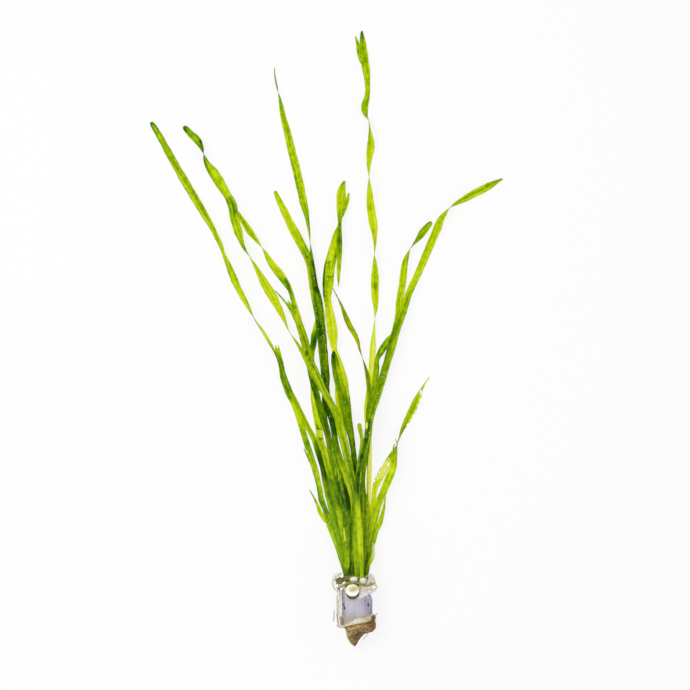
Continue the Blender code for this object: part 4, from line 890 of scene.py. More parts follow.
def ribbon_points(blade, seed, rooted):
    """Top and bottom points of a blade, rows by columns, with each point's share across and place along."""
    start = -ROOTED_LENGTH if rooted else 0
    rows = int((blade.along[-1] - start) / ROW_STEP) + 2
    along = np.linspace(start, blade.along[-1], rows)
    centre, across, normal = (
        np.stack([np.interp(along, blade.along, part[:, axis]) for axis in range(3)], axis=1)
        for part in blade.frames()
    )
    centre[:, 1] += np.minimum(along, 0)
    across, normal = unit(across), unit(normal)
    half = np.interp(along, blade.along, blade.width) / 2
    half *= 1 + WIDTH_WAVER * (wander(along, seed, WAVER_LENGTH) - 0.5)
    if blade.name not in CUTS:
        left = np.clip((along[-1] - along) / np.maximum(half, ROW_STEP), 0, 1)
        half = half * np.sqrt(1 - (1 - left) ** 2)
    half = np.maximum(half, LEAST_HALF_WIDTH)
    share = np.linspace(-1, 1, CELLS_ACROSS + 1)
    waves = CURL * wander(along, seed + SEEDS["curl"], CURL_LENGTH)[:, None] * share**2
    for side, facing in (("right", share), ("left", -share)):
        ruffle = wander(along, seed + SEEDS[side], RUFFLE_LENGTH)[:, None]
        waves = waves + RUFFLE * ruffle * np.clip(facing, 0, 1) ** 3
    slim = np.clip(half / FULL_WAVE_WIDTH, LEAST_WAVE, 1)[:, None]
    middle = (
        centre[:, None]
        + across[:, None] * (half[:, None] * share)[..., None]
        + normal[:, None] * (waves * slim)[..., None]
    )
    section = EDGE_THICKNESS + (MIDDLE_THICKNESS - EDGE_THICKNESS) * (1 - share**2) ** SECTION_POWER
    veins = VEIN_HEIGHT * np.cos(2 * math.pi * VEINS * share)
    thick = (section + veins)[None, :] / 2 * np.sqrt(slim)
    lift = normal[:, None] * thick[..., None]
    return middle + lift, middle - lift, np.broadcast_to(share, thick.shape), half, along


def cut_mask(name, middle):
    """True for each cell of the ribbon that is still there."""
    corners = (middle[:-1, :-1], middle[1:, :-1], middle[:-1, 1:], middle[1:, 1:])
    x, y = to_pixels(sum(corners) / 4)
    kept = np.ones(x.shape, bool)
    for cut_x, cut_y, half_x, half_y in CUTS.get(name, ()):
        kept &= ((x - cut_x) / half_x) ** 2 + ((y - cut_y) / half_y) ** 2 > 1
    if name in LACE:
        low, high, level = LACE[name]
        spots = np.stack([x * LACE_SCALES[0], y * LACE_SCALES[1]], axis=-1)
        ragged = np.array([[noise.noise((*spot, 3.0)) for spot in row] for row in spots])
        kept &= (y < low) | (y > high) | (ragged < level)
    return kept


def distance_to_line(x, y, start_x, start_y, end_x, end_y):
    """How far each place is from a straight line between two places."""
    run_x, run_y = end_x - start_x, end_y - start_y
    share = np.clip(((x - start_x) * run_x + (y - start_y) * run_y) / (run_x**2 + run_y**2), 0, 1)
    return np.hypot(x - start_x - share * run_x, y - start_y - share * run_y)


def between_rows(y, limits, fade=8):
    """1 between two rows of the photograph, fading to 0 at both."""
    low, high = limits
    return np.clip((y - low) / fade, 0, 1) * np.clip((high - y) / fade, 0, 1)


def shell_faces(kept):
    """Faces over, under and round the cells that are kept. The top points come first, then those below."""
    rows, columns = kept.shape
    stride = columns + 1
    under = (rows + 1) * stride
    row, column = np.nonzero(kept)
    corner = row * stride + column
    faces = [
        np.stack([corner, corner + 1, corner + stride + 1, corner + stride], axis=1),
        np.stack([corner, corner + stride, corner + stride + 1, corner + 1], axis=1) + under,
    ]
    padded = np.pad(kept, 1)
    sides = {(-1, 0): (0, 1), (1, 0): (stride, stride + 1), (0, -1): (0, stride), (0, 1): (1, stride + 1)}
    for (down, right), (first, second) in sides.items():
        near = corner[~padded[row + 1 + down, column + 1 + right]]
        first, second = near + first, near + second
        faces.append(np.stack([first, second, second + under, first + under], axis=1))
    return np.concatenate(faces)


def ribbon(blade, seed, surface, rooted=False):
    """The mesh of a blade, with the values along and across it that its surface reads."""
    top, bottom, share, half, along = ribbon_points(blade, seed, rooted)
    middle = (top + bottom) / 2
    x, y = to_pixels(middle)
    tone = np.interp(y, *zip(*TONES.get(blade.name, [(0, USUAL_TONE)])))
    for *line, radius, change in MARKS.get(blade.name, ()):
        near = np.clip(1 - (distance_to_line(x, y, *line) / (radius * MARK_REACH)) ** 2, 0, 1)
        tone = tone + change * near * MARK_STRENGTH
    across = share * half[:, None] / MM
    values = {
        "place": np.stack(np.broadcast_arrays(across, along[:, None] / MM, seed * PATTERN_STEP), axis=2),
        "share": share,
        "tone": tone,
        "flecked": between_rows(y, SPECK_AND_GLINT_ROWS.get(blade.name, (0, 0))),
        "solid": np.interp(y, *zip(*SOLID.get(blade.name, BASE_SOLID))),
        "olive": between_rows(y, OLIVE.get(blade.name, (0, 0))),
    }
    used, faces = np.unique(shell_faces(cut_mask(blade.name, middle)), return_inverse=True)

    def points_of(*layers):
        return np.concatenate([layer.reshape(-1, *layer.shape[2:]) for layer in layers])[used]

    values = {key: points_of(numbers, numbers) for key, numbers in values.items()}
    return add_mesh(f"{blade.name}_ribbon", points_of(top, bottom), faces.reshape(-1, 4), surface, values)


def laid_blades():
    """The blades at rest on each other, exactly as the solids lie."""
    blades = [Blade(name, stations, i % 2) for i, (name, stations) in enumerate(LEAVES.items())]
    places = np.concatenate([blade.plan for blade in blades])
    corner = places.min(axis=0) - FIELD_MARGIN
    top = np.zeros(((places.max(axis=0) + FIELD_MARGIN - corner) / LAY_CELL).astype(int) + 1)
    rooted = [blade for blade in blades if blade.name != LOOSE]
    for blade in blades:
        held = 0
        if blade in rooted:
            held = LOWEST_BASE + (HIGHEST_BASE - LOWEST_BASE) * rooted.index(blade) / (len(rooted) - 1)
        blade.lay(top, corner, held)
    return blades


def make_leaves():
    surface = blade_surface()
    blades = laid_blades()
    for seed, blade in enumerate(blades):
        belongs(ribbon(blade, seed, surface, blade.name != LOOSE), "leaf", blade.name)
    by_name = {blade.name: blade for blade in blades}
    for seed, (name, (parent, stations)) in enumerate(SLIVERS.items(), len(blades)):
        sliver = Blade(name, stations)
        reach = np.linalg.norm(by_name[parent].plan[:, None] - sliver.plan, axis=2)
        sliver.height = by_name[parent].height[reach.argmin(axis=0)].mean() + np.zeros(sliver.count)
        belongs(ribbon(sliver, seed, surface), "leaf")
    sheath = Blade("inner_sheath", INNER_SHEATH)
    sheath.height = np.full(sheath.count, SHEATH_HEIGHT * MM)
    belongs(ribbon(sheath, SHEATH_SEED, surface), "crown")


# Tubes and balls: how far a tip stands out in radii, what counts as steep, and how finely a ball is cut
TIP_REACH = 0.6
STEEP = 0.9
BALL_CUTS = 5


def grid_faces(rows, columns, loop_rows=False):
    """Quads over a grid of points whose columns close into rings."""
    row = np.arange(rows if loop_rows else rows - 1)[:, None]
    column = np.arange(columns)[None, :]
    beyond = (row + 1) % rows * columns
    right = (column + 1) % columns
    quads = [row * columns + column, row * columns + right, beyond + right, beyond + column]
    return np.stack(np.broadcast_arrays(*quads), axis=2).reshape(-1, 4)


def closed_faces(rows, sides, start=0):
    """Faces of a body through rings of points from start on, closed by two tips that follow them."""
    faces = (grid_faces(rows, sides) + start).tolist()
    tip = start + rows * sides
    last = tip - sides
    for i in range(sides):
        beyond = (i + 1) % sides
        faces += [(tip, start + beyond, start + i), (tip + 1, last + i, last + beyond)]
    return faces


def capped(rings):
    """Points and faces of a closed solid through rings of equal size."""
    points = np.concatenate([*rings, [np.mean(rings[0], axis=0), np.mean(rings[-1], axis=0)]])
    return points, closed_faces(len(rings), len(rings[0]))


def add_tubes(name, routes, surface, sides):
    """Closed tubes as one mesh. A route is (points, radii, shade), and its radii may taper."""
    points, faces, shades, count = [], [], [], 0
    angle = 2 * math.pi * np.arange(sides)[:, None] / sides
    for route, radii, shade in routes:
        forward = unit(np.gradient(route, axis=0))
        helper = np.where(np.abs(forward[:, 2:]) > STEEP, (1.0, 0.0, 0.0), (0.0, 0.0, 1.0))
        side = unit(np.cross(forward, helper))
        up = np.cross(side, forward)
        ring = side[:, None] * np.cos(angle) + up[:, None] * np.sin(angle)
        rings = route[:, None] + ring * radii[:, None, None]
        tips = [route[end] + way * forward[end] * radii[end] * TIP_REACH for end, way in ((0, -1), (-1, 1))]
        points += [rings.reshape(-1, 3), tips]
        faces += closed_faces(len(route), sides, count)
        size = len(route) * sides + 2
        shades.append(np.full(size, shade))
        count += size
    return add_mesh(name, np.concatenate(points), faces, surface, {"shade": np.concatenate(shades)})


def add_ball(name, middle, radii, turn, surface, shape_of):
    """A pebble-like body: shape_of gives the swell at each point of a unit ball."""
    shape = bmesh.new()
    bmesh.ops.create_icosphere(shape, subdivisions=BALL_CUTS, radius=1)
    for vertex in shape.verts:
        vertex.co = Vector(a * b * MM * shape_of(vertex.co) for a, b in zip(vertex.co, radii))
    mesh = bpy.data.meshes.new(name)
    shape.to_mesh(mesh)
    shape.free()
    mesh.shade_smooth()
    mesh.materials.append(surface)
    made = linked(name, mesh)
    made.location = middle
    made.rotation_euler.z = turn
    return made


def routed(stations, step=0.6 * MM):
    """A smooth run of points through stations (pixel x, pixel y, height in millimetres)."""
    points = np.array([place(*station) for station in stations])
    knots = run_lengths(points)
    return smooth_curve(knots, points, np.linspace(0, knots[-1], max(4, int(knots[-1] / step))))


def crooked(route, amount, seed, length=2.2 * MM):
    """Shakes a route off its smooth curve, by noise whose offsets come from the seed set in main()."""
    shifts = [noise.noise_vector(Vector(point) / length + Vector((seed, seed * 3.1, 0))) for point in route]
    return route + np.array(shifts) * amount


def tapered(route, middle, tip):
    """Radii that are full in the middle and thin at both ends."""
    share = np.linspace(0, 1, len(route))
    return middle * (tip + (1 - tip) * np.sin(math.pi * np.clip(share, 0.02, 0.98)) ** 0.5)


def rounded_square(width, corner):
    """Points (x, z) around a rounded square about the pot's axis, evenly spread."""
    reach = width / 2 - corner
    outline = []
    for quarter, (sx, sz) in enumerate(((1, 1), (-1, 1), (-1, -1), (1, -1))):
        for angle in np.linspace(0, math.pi / 2, CORNER_POINTS) + math.pi / 2 * quarter:
            outline.append((sx * reach + corner * math.cos(angle), sz * reach + corner * math.sin(angle)))
    outline = np.array(outline + outline[:1])
    knots = run_lengths(outline)
    at = np.linspace(0, knots[-1], OUTLINE_POINTS + 1)[:-1]
    return np.stack([np.interp(at, knots, outline[:, axis]) for axis in (0, 1)], axis=1)


def mouth_at(x):
    """Where the pot's mouth edge lies at x: its right shoulder is cut back."""
    past = (x - (POT_WIDTH / 2 - SHOULDER_WIDTH)) / SHOULDER_WIDTH
    return POT_MOUTH - (POT_MOUTH - POT_SHOULDER) * np.clip(past, 0, 1)


def end_at(x):
    """Where the pot's lower edge lies at x: it is cut on a slant that is steeper at the left."""
    far_end = np.where(x < 0, POT_LEFT_END, POT_RIGHT_END)
    return POT_MIDDLE_END + (far_end - POT_MIDDLE_END) * np.abs(x) / (POT_WIDTH / 2)


def wool_end_at(x):
    return WOOL_LEFT_END + (WOOL_RIGHT_END - WOOL_LEFT_END) * (x / POT_WIDTH + 0.5)


# Dark bits in the pot: photograph pixels (x, y), radius in millimetres and strength
POT_BITS = [
    (343.5, 603.4, 0.8, 1), (344, 605.4, 0.6, 0.95), (344.5, 607.2, 0.95, 1), (368.2, 604, 1, 0.85),
    (367.6, 601.6, 0.7, 0.35), (343.2, 597, 0.9, 0.4), (342.8, 612.5, 0.8, 0.5), (364.2, 599.4, 0.5, 0.4),
]


def pot_surface():
    """Frosted lilac film with faint streaks along it, beige below, hazy above, with dark bits behind it.
    Painted shade darkens its left and right sides, and a painted highlight lies left of the middle.
    """
    made = Surface("pot_film", {"Roughness": 0.3, "IOR": 1.45})
    places = made.places()
    streaks = made.noise(places, (1.5, 0.07, 1.0), 5)
    clouds = made.noise(places, 0.2, 4)
    grain = made.noise(places, 1.5, 4)
    across, up = made.add("SeparateXYZ", {0: places}, (0, 1))
    lilac = [(0.25, (178, 173, 188)), (0.45, (208, 205, 216)), (0.65, (228, 227, 234))]
    film = made.ramp(streaks + (grain - 0.5) * 0.4, lilac)
    # Painted shade: the right layer darkens the film towards its right side, the left layer darkens its left
    # side wall
    right = made.spread(across, 2, 9) * made.spread(clouds, 0.3, 0.6, 0.5, 0.9)
    left = made.spread(across, -11.4, -7.6, 1, 0) * made.spread(streaks, 0.3, 0.6, 1, 0.6)
    low = made.spread(up + grain * 5, 1, -8, 0, 0.75)
    corner = made.spread(across, -11.2, -8.4, 1, 0) * made.spread(up, -6, -9) * 0.85
    # Painted highlight: the pale layer is a lighter strip left of the middle
    pale = made.spread(across, -8.4, -6.4) * made.spread(across, -1, -4) * made.spread(up, -6, 0, 0, 0.55)
    high = made.spread(across, -1.5, 2) * made.spread(up - (across - 2) * 0.5, 6.0, 7.8)
    haze = high * made.spread(across, 9.4, 8.2) * made.spread(clouds, 0.3, 0.5, 0.8, 1.0)
    # Of these layers, right and left are painted shade and pale is a painted highlight
    layers = [
        (right, (160, 150, 176)), (left, (112, 104, 110)), (low, (186, 174, 162)),
        (corner, (128, 108, 72)), (pale, (226, 224, 232)), (haze, (254, 253, 250)),
    ]
    for x, y, radius, strength in POT_BITS:
        away = made.distance(places, place(x, y, POT_WIDTH / MM) / MM, (1.0, 0.6, 0.3))
        away = away + (streaks - 0.5) * 0.5
        layers.append((made.spread(away, radius * 0.4, radius, strength, 0), (58, 50, 66)))
    for share, seen in layers:
        film = made.blend(share, film, opaque(*seen))
    return made.finished(film, streaks + clouds * 2.0, 0.12 * MM, 0.35)


# The film is a little wavy: by how much, how close the waves are, and how its two ends fray
POT_ROWS = 36
FILM_WAVE = 0.5 * MM
FILM_WAVES = 210
FRAY = 0.35 * MM
FRAYED_SHARE = 0.98
SHARPEST_BEND = math.radians(60)


def make_pot():
    outer = rounded_square(POT_WIDTH, POT_CORNER)
    inner = rounded_square(POT_WIDTH - 2 * POT_WALL, POT_CORNER - POT_WALL)
    rings = []
    for outline, order in ((outer, range(POT_ROWS + 1)), (inner, range(POT_ROWS, -1, -1))):
        x = outline[:, 0]
        for row in order:
            share = row / POT_ROWS
            wavy = np.array([noise.noise((a * FILM_WAVES, share * 1.2, b * FILM_WAVES)) for a, b in outline])
            y = mouth_at(x) + (end_at(x) - mouth_at(x)) * share
            y = y + wavy * FILM_WAVE * (1 - abs(2 * share - 1)) + wavy * FRAY * (share > FRAYED_SHARE)
            pinch = 1 - 0.006 * (1 + wavy) - 0.012 * math.sin(math.pi * share)
            rings.append(np.stack([x * pinch, y, CENTRE_HEIGHT + outline[:, 1] * pinch], axis=1))
    faces = grid_faces(len(rings), OUTLINE_POINTS, loop_rows=True)
    pot = add_mesh("sleeve", np.concatenate(rings), faces, pot_surface())
    pot.data.set_sharp_from_angle(angle=SHARPEST_BEND)
    belongs(pot, "pot", "sleeve_pot")


def fibre_surface(name, stops, roughness, through=None, tint=None):
    """Strands whose colour runs through these stops by their own shade, with fine mottling."""
    made = Surface(name, {"Roughness": roughness})
    fine = made.noise(made.places(), 1.6, 4)
    colour = made.ramp(made.attribute("shade") + (fine - 0.5) * 0.5, stops)
    if tint:
        colour = tint(made, colour)
    return made.finished(colour, fine, 0.06 * MM, through)


# Colours of wool and roots by their shade, as seen on a screen
WOOL_STOPS = [(0.0, (176, 150, 100)), (0.3, (218, 204, 160)), (0.6, (242, 234, 204)), (1.0, (255, 252, 244))]
ROOT_STOPS = [
    (0.0, (52, 40, 22)), (0.25, (104, 80, 46)), (0.5, (158, 128, 82)), (0.75, (200, 176, 126)),
    (1.0, (238, 228, 196)),
]
PALE_STOPS = [(0.0, (132, 122, 58)), (0.3, (206, 198, 150)), (0.6, (244, 242, 228)), (1.0, (255, 255, 252))]
RUNNER_STOPS = [(0.0, (84, 80, 14)), (0.45, (158, 154, 40)), (1.0, (216, 210, 116))]

# The wool plug: its lumps, where it has a painted highlight, where painted light lifts its mouth and where it
# is dull, in photograph pixels, and the fibres felted onto it
WOOL_ROWS = 40
WOOL_LUMPS = 420
WOOL_LUMP_HEIGHT = 0.3 * MM
WOOL_SHADES = 300
WOOL_PAINTED_HIGHLIGHT = (356, 620.5)
WOOL_DULL = (361, 600)
WOOL_PAINTED_LIGHT_ROW = 592
WOOL_FIBRES = 520
# What a wool fibre is drawn from: how far it goes round and inward, how deep it starts, and its radius in mm
WOOL_DRIFT, WOOL_FALL = 7, 0.12
WOOL_SHARES = (0.6, 0.99)
FIBRE_RADII = (0.05, 0.11)
FIBRE_POINTS = 9


def wool_point(along, outline, share):
    """A point on the wool's surface: share runs from 0 at its top to 1 at its lower edge."""
    first = int(along // 1)
    part = along - first
    x, z = outline[first % len(outline)] * (1 - part) + outline[(first + 1) % len(outline)] * part
    top = mouth_at(x) - WOOL_TOP_INSET
    return np.array((x, top + (wool_end_at(x) - top) * share, CENTRE_HEIGHT + z))


def wool_shade(points):
    """How light the wool is: a painted highlight in the middle of its lower band, painted light at the mouth,
    and dull at the right.
    """
    x, y = to_pixels(points)
    highlight_x, highlight_y = WOOL_PAINTED_HIGHLIGHT
    dull_x, dull_y = WOOL_DULL
    shade = 0.5 + 0.5 * np.array([noise.noise(Vector(point) * WOOL_SHADES) for point in points])
    # Painted highlight in the middle of the lower band
    shade = shade + 0.3 * np.exp(-((x - highlight_x) ** 2 / 60 + (y - highlight_y) ** 2 / 9))
    shade = shade - 0.25 * np.clip((x - dull_x) / 8, 0, 1) * np.clip((y - dull_y) / 8, 0, 1)
    # Painted light at the mouth, where the table's glow does not reach
    return shade + 0.35 * np.clip((WOOL_PAINTED_LIGHT_ROW - y) / 6, 0, 1)


def make_wool(random):
    """A lumpy cream plug with fibres felted onto it."""
    outline = rounded_square(POT_WIDTH - 2 * (POT_WALL + GAP), POT_CORNER - POT_WALL)
    rings = []
    for share in np.linspace(0, 1, WOOL_ROWS + 1):
        round_end = 1 - 0.08 * max(0, (share - 0.86) / 0.14) ** 2
        ring = []
        for i in range(len(outline)):
            x, y, z = wool_point(i, outline, share)
            lump = noise.fractal(Vector((x, y, z)) * WOOL_LUMPS, 0.7, 2.1, 4)
            shrink = round_end * (0.988 - 0.022 * lump)
            z = CENTRE_HEIGHT + (z - CENTRE_HEIGHT) * shrink
            ring.append((x * shrink, y + WOOL_LUMP_HEIGHT * lump, z))
        rings.append(ring)
    points, faces = capped(rings)
    surface = fibre_surface("wool_cream", WOOL_STOPS, 0.95, 0.2)
    belongs(add_mesh("wool", points, faces, surface, {"shade": wool_shade(points)}), "wool", "wool_plug")

    routes = []
    steps = np.linspace(0, 1, FIBRE_POINTS)
    for i in range(WOOL_FIBRES):
        start = random.integers(0, len(outline))
        drift = random.uniform(-WOOL_DRIFT, WOOL_DRIFT)
        share = random.uniform(*WOOL_SHARES)
        fall = random.uniform(-WOOL_FALL, WOOL_FALL)
        spots = [wool_point(start + drift * step, outline, min(share + fall * step, 1)) for step in steps]
        route = crooked(np.array(spots), 0.45 * MM, i * 0.37, 1.6 * MM)
        radii = tapered(route, random.uniform(*FIBRE_RADII) * MM, 0.3)
        routes.append((route, radii, random.uniform(0.5, 1.0)))
    belongs(add_tubes("wool_fibres", routes, surface, 4), "wool")


# The root mass below the wool: pixels below its top, its left and right edge in pixels, and half its height
# in millimetres
ROOT_ROWS = [
    (0, 343, 375.2, 9.6), (3, 345.2, 376, 10.2), (6.2, 346.3, 375.6, 9.8), (8.6, 347, 372.4, 8.8),
    (10.2, 347.5, 364, 7.6), (13.4, 348.2, 360.9, 6.4), (17, 349.4, 357.9, 4.4), (20, 351.6, 356.2, 2.2),
    (22, 353.7, 355.1, 0.8),
]
ROOT_END = ROOT_ROWS[-1][0]
ROOT_TOP_ROW = 623.6
ROOT_SLOPE = 0.2
CORE_ROWS = 44
CORE_SIDES = 72
CORE_LUMPS = 330
CORE_SHADES = 300
ROOT_WRAPS = 620
WRAP_POINTS = 12
WRAP_LEVEL = 0.985
CROSSING_SHARE = 0.3
# What a strand of the wrap is drawn from: its run down in pixels, its turn in radians, and its radius in mm
STRAND_RUN, CROSSING_RUN = (3, 9), (-1.5, 1.5)
CROSSING_TURN = (0.6, 1.4)
WRAP_RADII = (0.09, 0.22)


def root_point(down, angle, lump):
    """A point on the root mass: down in pixels below its top, and the angle about its axis."""
    rows, *columns = np.array(ROOT_ROWS).T
    left, right, half_height = (np.interp(down, rows, column) for column in columns)
    slope = ROOT_SLOPE * (1 - down / ROOT_END) ** 2
    x = ((left + right) / 2 - POT_CENTRE[0]) * PIXEL + (right - left) / 2 * PIXEL * lump * math.cos(angle)
    z = CENTRE_HEIGHT + half_height * MM * lump * math.sin(angle)
    return np.array((x, (POT_CENTRE[1] - ROOT_TOP_ROW - down) * PIXEL + slope * x, z))


# Lighter and darker places of the root mass: pixel place, reach in pixels and change of shade
ROOT_PATCHES = [
    (348.6, 634, 2.4, 0.25), (350.4, 640, 2.2, 0.2), (356.5, 634.5, 4.4, -0.32), (354.6, 641.5, 3.6, 0.14),
    (356, 627.4, 4.5, 0.24), (364, 626.8, 4.5, 0.2), (349.5, 626.4, 3, 0.18), (369, 624.6, 2.6, -0.25),
    (367, 630.4, 4, 0.1), (373.4, 627, 3, -0.05),
]
ROOT_SHADE = 0.44


def root_shade(points):
    """How light the root mass is at these points, 0 to 1."""
    x, y = to_pixels(points)
    shade = np.full(len(x), ROOT_SHADE)
    for middle_x, middle_y, reach, change in ROOT_PATCHES:
        shade = shade + change * np.exp(-((x - middle_x) ** 2 + (y - middle_y) ** 2) / reach**2)
    return shade


def root_tint(made, brown):
    """Orange where the roots meet the wool and olive lower down."""
    places = made.places()
    level = made.add("SeparateXYZ", {0: places}, 1) + (made.noise(places, 0.5, 3) - 0.5) * 5
    lower = made.blend(made.spread(level, -18, -22), brown, made.tinted(brown, (0.95, 0.98, 0.68)))
    return made.blend(made.spread(level, -17.5, -14.5), lower, made.tinted(brown, (1.14, 1.0, 0.86)))


def make_roots(random):
    """A lumpy brown core wrapped in many fine roots that gather to a point."""
    rings = []
    for down in np.linspace(0, ROOT_END, CORE_ROWS + 1):
        ring = []
        for angle in np.linspace(0, 2 * math.pi, CORE_SIDES, endpoint=False):
            lump = noise.fractal(Vector(root_point(down, angle, 1)) * CORE_LUMPS, 0.8, 2.0, 5)
            ring.append(root_point(down, angle, 0.93 + 0.06 * lump))
        rings.append(ring)
    points, faces = capped(rings)
    shade = np.array([noise.fractal(Vector(point) * CORE_SHADES, 0.8, 2.0, 3) for point in points])
    shade = shade * 0.6 + root_shade(points) - 0.1
    surface = fibre_surface("root_felt", ROOT_STOPS, 0.85, tint=root_tint)
    belongs(add_mesh("root_core", points, faces, surface, {"shade": shade}), "root", "root_ball")

    routes = []
    steps = np.linspace(0, 1, WRAP_POINTS)
    for i in range(ROOT_WRAPS):
        down = random.uniform(0, ROOT_END * 0.75)
        angle = random.uniform(0, 2 * math.pi)
        run = random.uniform(*STRAND_RUN)
        turn = random.normal(0, 0.5)
        if random.random() < CROSSING_SHARE:
            run = random.uniform(*CROSSING_RUN)
            turn = random.choice((-1, 1)) * random.uniform(*CROSSING_TURN)
        downs = np.clip(down + run * steps, 0, ROOT_END)
        spots = [root_point(*spot, WRAP_LEVEL) for spot in zip(downs, angle + turn * steps)]
        route = crooked(np.array(spots), 0.55 * MM, i * 0.61, 1.8 * MM)
        middle = root_shade(route[len(route) // 2, None])[0]
        shade = np.clip(random.normal(middle, 0.22), 0.02, 1)
        routes.append((route, tapered(route, random.uniform(*WRAP_RADII) * MM, 0.4), shade))
    belongs(add_tubes("root_wrap", routes, surface, 5), "root")
    belongs(add_tubes("root_columns", tuft(random, COLUMN_TUFT), surface, 5), "root")


# Round stems and roots that are solids too: stations (pixel x, pixel y, height in millimetres) and radius
STRANDS = {
    "runner": ([
        (338, 588, 17), (339.6, 586.8, 20.4), (342.8, 585, 23.6), (346.5, 582.8, 25.8), (351, 581.3, 26.2),
        (356.5, 581.5, 26.2), (361, 583.6, 25.8), (366, 585, 24.2), (370.5, 584, 22), (374, 582.2, 19.6),
    ], 0.85),
    "root_loop_left": ([
        (341, 573.6, 12.5), (337.6, 574.6, 13.2), (334.4, 577.2, 13.6), (332.8, 581.2, 13.4),
        (333.2, 585.6, 12.8), (335.2, 589.2, 12), (338, 592, 11),
    ], 0.8),
    "root_loop_right": ([
        (371.6, 585.2, 14), (374.8, 584.4, 13.6), (377, 586.4, 13), (375.4, 588.8, 12.4), (372, 589.6, 12),
    ], 0.9),
    "root_side_upper": ([(338.2, 594, 9.6), (337, 599, 8.4), (337.6, 605, 7.4), (338.4, 611, 6.4)], 0.55),
    "root_side_lower": ([
        (337.4, 613.4, 5.8), (337, 618, 4.6), (338, 622.6, 3.2), (337.4, 626.6, 1.6), (341, 628.4, 0.9),
    ], 0.65),
}

# Fine roots with no solids: stations, radius in millimetres and shade from 0 (olive) to 1 (white)
FINE_ROOTS = [
    ([(341.5, 590, 12), (338.8, 598, 10.6), (338.2, 606, 9), (339.4, 614, 7), (340.6, 622, 5)], 0.3, 0.85),
    ([(342, 592, 15), (340.4, 600, 13.4), (339.8, 612, 10.4), (341.2, 624, 6.4)], 0.24, 0.95),
    ([(337.4, 591, 11), (336.4, 600, 8.2), (336.2, 610, 5.8)], 0.22, 0.8),
    ([(340.8, 596, 9), (337.8, 606, 6.6), (338.6, 617, 4.4), (341.4, 627, 3.2)], 0.25, 0.7),
    ([(334.2, 610.4, 4.4), (334, 616, 3), (333.6, 622, 1.2)], 0.36, 0.35),
    ([(336.8, 612.4, 7), (337.6, 619, 5), (338.8, 626, 2.6)], 0.34, 0.25),
    ([(336.6, 625.6, 1.8), (340.6, 627, 2), (346, 628.6, 5)], 0.4, 0.45),
    ([(346, 626, 14), (346.2, 632, 12.6), (347.6, 638, 11.8), (351, 643, 11.6)], 0.4, 0.75),
    ([(368.6, 631, 11), (366.6, 635.6, 9.8), (363.2, 638.8, 9)], 0.28, 0.6),
    ([(364.6, 638, 8.4), (361.8, 641.6, 8)], 0.2, 0.9),
    ([(377.4, 612.8, 12), (375.8, 615, 12), (375.4, 619, 11.8)], 0.34, 0.35),
    ([(340.4, 575, 14.4), (336, 575.6, 14.8), (333, 579.4, 14.6), (331.8, 583.8, 13.2),
      (334.2, 588.6, 11.6)], 0.34, 0.95),
    ([(342.4, 572.6, 12), (337.8, 572.8, 11.4), (333.6, 575.6, 11)], 0.3, 1),
    ([(336, 586.6, 14.8), (338.6, 589.6, 15.4), (341, 594, 15)], 0.3, 0.3),
    ([(341.6, 580.4, 17.4), (339, 584.4, 16.6), (339.6, 590.2, 15.8)], 0.42, 0.2),
    ([(343, 578.2, 19.4), (340.4, 581.4, 18.8), (342, 586.4, 20)], 0.44, 0.28),
    ([(361.8, 586.4, 23.6), (365, 588.8, 23.8), (369.2, 588, 22.8)], 0.34, 0.85),
    ([(362.4, 590.4, 23.4), (366.6, 591.6, 23.5), (370, 593.6, 22.6)], 0.26, 0.95),
    ([(360.6, 593.4, 23.4), (364.6, 594.6, 23.4), (369.4, 597.4, 23)], 0.22, 0.9),
    ([(369.6, 573.2, 16), (373, 574.6, 17), (374.4, 579.6, 16.4)], 0.42, 0.7),
    ([(372, 575.4, 17.4), (374.8, 581.4, 16), (375.6, 584.8, 14.6)], 0.36, 0.5),
    ([(366.6, 586.4, 21.8), (371, 588.6, 19.8), (374.8, 588.8, 17.4)], 0.42, 0.85),
    ([(371, 590, 18), (374.4, 591, 16.6), (376.2, 590.2, 15.2)], 0.3, 1),
]
STRAY_ROOTS = 60
# Where the stray roots start, in pixels down and across, and the height in mm of the pot's side there
STRAY_DOWN, STRAY_ACROSS = (586, 618), (336.5, 341)
STRAY_HEIGHTS = ((586, 620), (14, 5))
FINE_STEP = 0.5 * MM

# Tufts of short fibres in a box: left, right, upper and lower pixel, lowest and highest place and radius in
# millimetres, shade from and to, run along and down in pixels, and count
MOUTH_WOOL = [
    (359, 371, 578, 590, 15, 21.5, 0.34, 0.7, 1, 4, 4, 200),
    (362, 372, 574, 582, 8, 18, 0.26, 0.6, 1, 3, 5, 60),
    (359.5, 369.5, 584.8, 590.6, 21.5, 24.2, 0.24, 0.75, 1, 5, 1.5, 170),
]
MOUTH_ROOTS = [
    (342.4, 346.2, 585.6, 590.4, 20, 23, 0.2, 0.35, 0.8, 1.5, 3, 34),
    (366.2, 371.4, 573.6, 583, 13, 17.5, 0.26, 0.3, 0.9, 0.8, 5, 76),
    (333.4, 339.6, 574.4, 580, 11, 14.5, 0.2, 0.8, 1, 3, 3, 30),
]
SHOOT_TUFT = [(338, 348, 577, 582.8, 14, 19.5, 0.32, 0, 0.5, 6.5, 1.5, 150)]
COLUMN_TUFT = [
    (371.6, 375, 613.5, 624, 5, 17, 0.22, 0.15, 0.75, 0.6, 8, 110),
    (340.2, 341.8, 615.5, 622, 4, 18, 0.18, 0.3, 0.9, 0.6, 6, 26),
]


